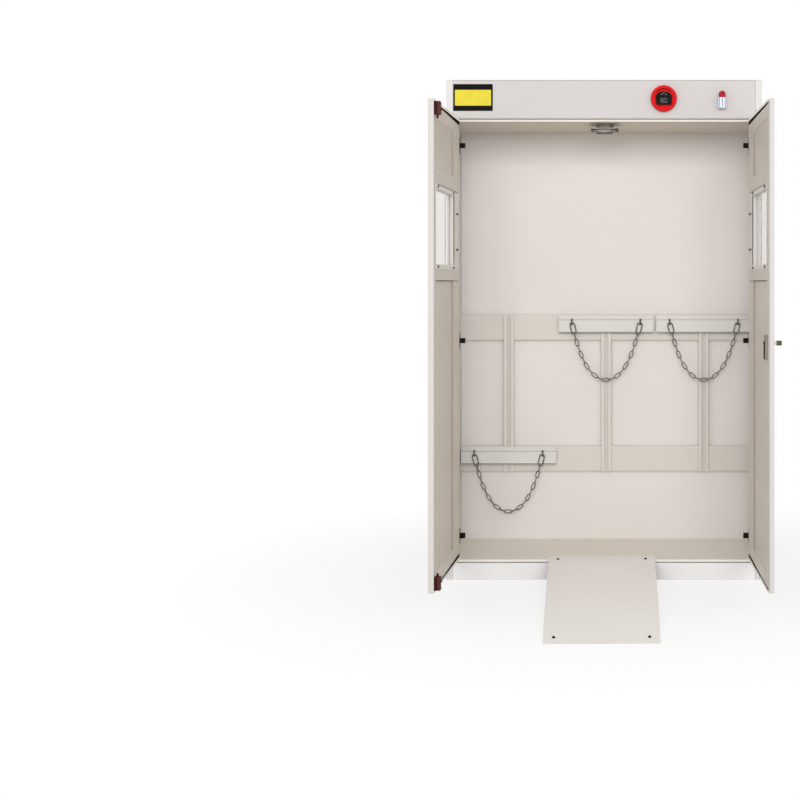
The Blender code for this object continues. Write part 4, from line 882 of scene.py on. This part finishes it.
def press_shade_strips(side):
    """Painted shade: a darker strip over the hinge-side slope of each pressed panel."""
    start, deep = PRESS_X, SKIN_FACE - PRESS_DEPTH
    outline = [(start - 0.0010, SKIN_FACE - 0.0002), (start - 0.0010, SKIN_FACE + 0.0003),
               (start + 0.0003, SKIN_FACE + 0.0003), (start + 0.0048, deep + 0.0004),
               (start + 0.0048, deep - 0.0002), (start + 0.0036, deep - 0.0002)]
    parts = [prism("Z", outline, low, high) for low, high in PRESSED]
    add(f"{side}_press_shade_strips", in_door(merged(parts), side), "door_painted_shade", f"{side}_door")


def end_lips(side):
    """Turned-in lips at a door's top and bottom in the near-white lip tone, which is painted light, with a
    near-black wedge of painted shade between each lip and the inner skin.
    """
    body = f"{side}_door"
    start, end = 0.0045, FREE_EDGE - 0.0025
    back, front = SKIN_FACE - 0.0012, SKIN_FACE + 0.0001
    ends = (("top", DOOR_HIGH, -1, 0.0250, 0.0125 if side == "left" else 0.0155),
            ("bottom", DOOR_LOW, 1, 0.0230, 0.0125))
    for name, level, way, near, far in ends:
        # The lip's near-white tone is painted light
        lip_painted_light = [(back, level + way * 0.0095), (front, level + way * 0.0095), (front, level + way * 0.0012),
               (SKIN_FACE - 0.0004, level + way * 0.0004), (back, level + way * 0.0004)]
        add(f"{side}_door_{name}_lip", in_door(prism("X", lip_painted_light, start, end), side), "lip_painted_light", body,
            bevel=0.0002)
        inner = level + way * 0.0094
        # Near-black wedge, wider at the hinge end: painted shade in the hollow behind the lip
        outline = [(level + way * near, start), (level + way * far, end), (inner, end), (inner, start)]
        near_black = prism("Y", outline, SKIN_FACE - 0.0030, SKIN_FACE + 0.0004)
        add(f"{side}_door_{name}_gap", in_door(near_black, side), "near_black", body, smooth=0.0)


def edge_joint():
    """Joint between the inner and outer skin, seen on the right door's free edge."""
    line = block((FREE_EDGE - 0.0006, SKIN_FACE - 0.0026, DOOR_LOW + 0.006),
                 (FREE_EDGE + 0.0003, SKIN_FACE - 0.0012, DOOR_HIGH - 0.006))
    add("right_door_edge_joint", in_door(line, "right"), "joint_and_shadow_line", "right_door")


def bolts():
    """Ribbed covers of the surface bolts, with their screws: one row of ribs in a darker red as painted
    shade, the other in a lighter red as a painted highlight.
    """
    x = FREE_EDGE - BOLT_FROM_EDGE
    # The outer row's darker red is painted shade, the inner row's lighter red a painted highlight
    rows = (("outer", "bolt_red_painted_shade", SKIN_FACE + 0.0056), ("inner", "bolt_red_painted_light", SKIN_FACE + 0.0153))
    turns = [math.pi * (i / 12 - 0.5) for i in range(13)]
    root, reach, half = 0.0136, 0.0022, 0.0043
    for end, low in BOLT_LOWS.items():
        high = low + BOLT_HEIGHT
        for row, look, y in rows:
            parts = []
            for side in (-1, 1):
                rib = [(x + side * (root + reach * math.cos(t)), y + half * math.sin(t)) for t in turns]
                rib += [(x + side * 0.0130, y + half), (x + side * 0.0130, y - half)]
                parts.append(prism("Z", rib, low + 0.0015, high - 0.0015))
            add(f"{end}_bolt_{row}_ribs", in_door(merged(parts), "left"), look, "left_door",
                smooth=40.0)
        heads = [pan_head("Y", z, x + side * 0.0092, SKIN_FACE + 0.0203, 1, 0.0026, 0.0014)
                 for z in (low + 0.006, high - 0.006) for side in (-1, 1)]
        add(f"{end}_bolt_screws", in_door(merged(heads), "left"), "black", "left_door")


def lock():
    """Fluted knob with its neck and spindle, the key plug's rosette and slot, and the case's screw."""
    x, z = FREE_EDGE - LOCK_FROM_EDGE, LOCK_Z
    key_z, radius = z - KEY_BELOW_LOCK, KNOB_RADIUS
    end, heel, tail = DOOR_FACE - 0.030, DOOR_FACE - 0.012, SKIN_FACE + 0.0130
    grip = [(0.0, end + 0.0006, False), (radius * 0.55, end + 0.0003, False), (radius * 0.80, end, False),
            (radius * 0.93, end + 0.0007, False), (radius, end + 0.0020, False),
            (radius, end + 0.0032, True), (radius, heel - 0.0030, True), (radius, heel - 0.0018, False),
            (radius * 0.92, heel - 0.0004, False), (0.0064, heel, False), (0.0, heel, False)]
    knob = fluted("Y", z, x, grip, 120, 20, 0.0007)
    rod = [(0.0, heel - 0.001), (0.004, heel - 0.001), (0.004, tail), (0.0, tail)]
    parts = [knob, turned("Y", z, x, rod, 32)]
    made = add("lock_grip", in_door(merged(parts), "right"), "bronze", "lock", smooth=40.0)
    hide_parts("lock_knob")

    foot = DOOR_FACE - 0.0003
    sleeve = [(0.0, heel + 0.0002), (0.0060, heel + 0.0002), (0.0056, DOOR_FACE - 0.0060),
              (0.0060, DOOR_FACE - 0.0020), (0.0060, foot), (0.0, foot)]
    neck = turned("Y", z, x, sleeve, 48)
    add("lock_neck", in_door(neck, "right"), "side", "lock", smooth=50.0)

    ring = [(0.0068, 0.0001), (0.0088, 0.0001), (0.0092, 0.0008), (0.0086, 0.0016), (0.0070, 0.0016),
            (0.0068, 0.0012), (0.0068, 0.0001)]
    rosette = turned("Y", key_z, x, [(reach, DOOR_FACE - rise) for reach, rise in ring], 40)
    add("key_rosette", in_door(rosette, "right"), "zinc", "right_door", smooth=50.0)
    slot = block((x - 0.0006, DOOR_FACE - 0.0022, key_z - 0.0036),
                 (x + 0.0006, DOOR_FACE - 0.0018, key_z + 0.0036))
    add("key_slot", in_door(slot, "right"), "joint_and_shadow_line", "key")

    head = pan_head("Y", CASE_SCREW_Z, x, SKIN_FACE + 0.0083, 1, 0.0028, 0.0013)
    add("lock_case_screw", in_door(head, "right"), "black", "right_door")


def fan():
    """Fan: domed guard of smooth wires with finer rings, pale motor cover and flange screws."""
    level, low, half, flat = FAN_GUARD_ROOT, FAN_GUARD_LOW, FAN_GUARD_RADIUS, FAN_GUARD_FLAT
    thick, thin = 0.0010, 0.0008
    corner = half * math.sqrt(2)
    outline = [(-corner, level), (-half, level), (-flat, low), (flat, low), (half, level), (corner, level)]
    upright = Vector((0.0, 0.0, 1.0))

    def ring(radius, height, gauge):
        """A wire ring about the fan's axis."""
        return wire([(a, b, height) for a, b in circle(0.0, FAN_Y, radius, 64)], upright, gauge)

    bars = []
    for turn in (math.pi / 4, 3 * math.pi / 4):
        along = Vector((math.cos(turn), math.sin(turn), 0.0))
        path = [Vector((0.0, FAN_Y, height)) + reach * along for reach, height in outline]
        bars.append(wire(path, along.cross(upright), thick, closed=False))
    bars += [ring(flat, low, thick), ring(half, level, thick)]
    guard = add("fan_guard_wires", merged(bars), "black", "cabinet", smooth=60.0)
    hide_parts("fan_guard")

    places = [(0.0100, low), (0.0200, low), (0.0373, low + 0.0035), (0.0446, low + 0.0070)]
    rings = [ring(radius, height, thin) for radius, height in places]
    add("fan_guard_rings", merged(rings), "zinc", "cabinet", smooth=60.0)
    dish = [(0.0, 0.0012), (0.0160, 0.0012), (0.0175, 0.0016), (0.0385, 0.0092), (0.0392, 0.0098),
            (0.0388, 0.0106), (0.0172, 0.0030), (0.0, 0.0030)]
    cover = turned("Z", 0.0, FAN_Y, [(radius, low + rise) for radius, rise in dish], 64)
    add("fan_motor_cover", cover, "cover", "cabinet", smooth=40.0)
    reach = FAN_SCREW_REACH
    heads = [pan_head("Z", sx * reach, FAN_Y + sy * reach, FAN_SCREW_SEAT, -1, 0.0034, 0.0022)
             for sx in (-1, 1) for sy in (-1, 1)]
    add("fan_screws", merged(heads), "black", "cabinet")


def hinge_details():
    """Screws on the hinges' stop blocks."""
    for side, sign in (("left", -1), ("right", 1)):
        heads = [pan_head("Y", z + rise, sign * HINGE_SCREW_X, HINGE_SCREW_Y, -1, 0.0036, 0.0014)
                 for z in HINGE_HEIGHTS for rise in (-HINGE_SCREW_RISE, HINGE_SCREW_RISE)]
        add(f"{side}_hinge_screws", merged(heads), "black", "cabinet")


def ceiling_lip():
    """Near-white strip on the front edge of the ceiling panel: painted light on the lip in the header's
    shade.
    """
    front, middle, back = -0.2044, -0.2040, -0.2036
    outline = [(front, 1.7445), (middle, 1.7441), (back, 1.7441), (back, 1.7522), (middle, 1.7522),
               (front, 1.7518)]
    trim = prism("X", outline, -CEILING_LIP_HALF, CEILING_LIP_HALF)
    add("ceiling_lip_painted_light", trim, "lip_painted_light", "cabinet")


def ramp_studs():
    """Black rubber studs in the ramp's four holes, the rear ones low at the back, below the closed doors."""
    studs = []
    for side in (-1, 1):
        for reach, along in STUD_PLACES:
            across = side * reach
            x = RAMP_SHIFT + across * math.cos(RAMP_SKEW) - along * math.sin(RAMP_SKEW)
            y = RAMP_Y + across * math.sin(RAMP_SKEW) + along * math.cos(RAMP_SKEW)
            seat = RAMP_TOP + min(0.0, along + RAMP_TONGUE) * RAMP_SLOPE - 0.0005
            stud = pan_head("Z", x, y, seat, 1, STUD_RADIUS, STUD_HEIGHT)
            if seat + STUD_HEIGHT > DOOR_LOW:
                bmesh.ops.bisect_plane(stud, geom=stud.verts[:] + stud.edges[:] + stud.faces[:],
                                       plane_co=(x, y - 0.0006, 0.0), plane_no=(0.0, 1.0, 0.0),
                                       clear_outer=True)
                bmesh.ops.holes_fill(stud, edges=[edge for edge in stud.edges if edge.is_boundary])
                disc = [(0.0, seat), (STUD_RADIUS, seat), (STUD_RADIUS - 0.0003, seat + STUD_LOW),
                        (0.0, seat + STUD_LOW)]
                studs.append(turned("Z", x, y, disc, 20))
            studs.append(stud)
    add("ramp_studs", merged(studs), "near_black", "ramp", smooth=50.0)


def make_camera():
    """Camera at the photograph's place."""
    data = bpy.data.cameras.new("camera")
    data.lens = CAMERA_LENS
    data.sensor_width = CAMERA_SENSOR
    data.shift_x, data.shift_y = CAMERA_SHIFT
    data.clip_end = 100.0
    camera = bpy.data.objects.new("camera", data)
    camera.location = CAMERA_PLACE
    camera.rotation_euler = (math.pi / 2, 0.0, 0.0)
    bpy.context.scene.collection.objects.link(camera)
    bpy.context.scene.camera = camera


def make_floor():
    """Pale floor that shows as white to the camera and keeps the object's shadow."""
    bm = bmesh.new()
    bmesh.ops.create_circle(bm, cap_ends=True, segments=96, radius=FLOOR_RADIUS)
    mesh = bpy.data.meshes.new("studio_floor")
    bm.to_mesh(mesh)
    bm.free()
    floor = bpy.data.objects.new("studio_floor", mesh)
    floor.location.z = FLOOR_Z
    bpy.context.scene.collection.objects.link(floor)
    material = bpy.data.materials.new("studio_floor")
    material.use_nodes = True
    tree = material.node_tree
    nodes, links = tree.nodes, tree.links
    nodes.clear()
    diffuse = nodes.new("ShaderNodeBsdfDiffuse")
    diffuse.inputs["Color"].default_value = (0.90, 0.90, 0.90, 1.0)
    glow = nodes.new("ShaderNodeEmission")
    paths = nodes.new("ShaderNodeLightPath")
    place = nodes.new("ShaderNodeTexCoord")
    length = nodes.new("ShaderNodeVectorMath")
    length.operation = "LENGTH"
    links.new(place.outputs["Object"], length.inputs[0])
    spread = nodes.new("ShaderNodeMapRange")
    limits = ("From Min", "From Max", "To Min", "To Max")
    for name, value in zip(limits, FLOOR_FADE + FLOOR_SHARE):
        spread.inputs[name].default_value = value
    links.new(length.outputs["Value"], spread.inputs["Value"])
    share = calculated(tree, "MULTIPLY", paths.outputs["Is Camera Ray"], spread.outputs["Result"])
    shown_as(tree, "ShaderNodeOutputMaterial", share, diffuse.outputs["BSDF"], glow.outputs["Emission"])
    mesh.materials.append(material)


def make_world():
    """White backdrop for the camera, glossy and transmitted rays, and a plain even light for the rest."""
    world = bpy.data.worlds.new("studio")
    bpy.context.scene.world = world
    world.use_nodes = True
    tree = world.node_tree
    nodes = tree.nodes
    nodes.clear()
    paths = nodes.new("ShaderNodeLightPath")
    seen = calculated(tree, "MAXIMUM", paths.outputs["Is Camera Ray"], paths.outputs["Is Transmission Ray"])
    shown = calculated(tree, "MAXIMUM", seen, paths.outputs["Is Glossy Ray"])
    even = nodes.new("ShaderNodeBackground")
    even.inputs["Color"].default_value = (1.0, 0.99, 0.98, 1.0)
    even.inputs["Strength"].default_value = AMBIENT
    white = nodes.new("ShaderNodeBackground")
    white.inputs["Color"].default_value = (1.0, 1.0, 1.0, 1.0)
    white.inputs["Strength"].default_value = 1.0
    shown_as(tree, "ShaderNodeOutputWorld", shown, even.outputs["Background"], white.outputs["Background"])


def make_lamp(name, place, target, size, power, mirrored):
    """A large soft lamp that faces a point."""
    data = bpy.data.lights.new(name, "AREA")
    data.shape = "RECTANGLE"
    data.size, data.size_y = size
    data.energy = power
    lamp = bpy.data.objects.new(name, data)
    lamp.location = place
    lamp.rotation_euler = (Vector(target) - Vector(place)).to_track_quat("-Z", "Y").to_euler()
    lamp.visible_glossy = mirrored
    bpy.context.scene.collection.objects.link(lamp)


def make_studio():
    """Floor, even light and soft lamps."""
    make_floor()
    make_world()
    for name, settings in LAMPS.items():
        make_lamp(name, *settings)
    bpy.context.scene.view_settings.view_transform = "Standard"


looks = make_materials()
make_camera()
make_studio()
dress_cabinet()
for bay, (x, top) in BAYS.items():
    chain(bay, x, top)
    eyes(bay, x, top)
    bracket_lines(bay, x, top)
alarm()
beacon()
notice()
for side in ("left", "right"):
    window_details(side)
    skin_joint_and_shadow(side)
    press_shade_strips(side)
    end_lips(side)
edge_joint()
bolts()
lock()
fan()
hinge_details()
ceiling_lip()
ramp_studs()
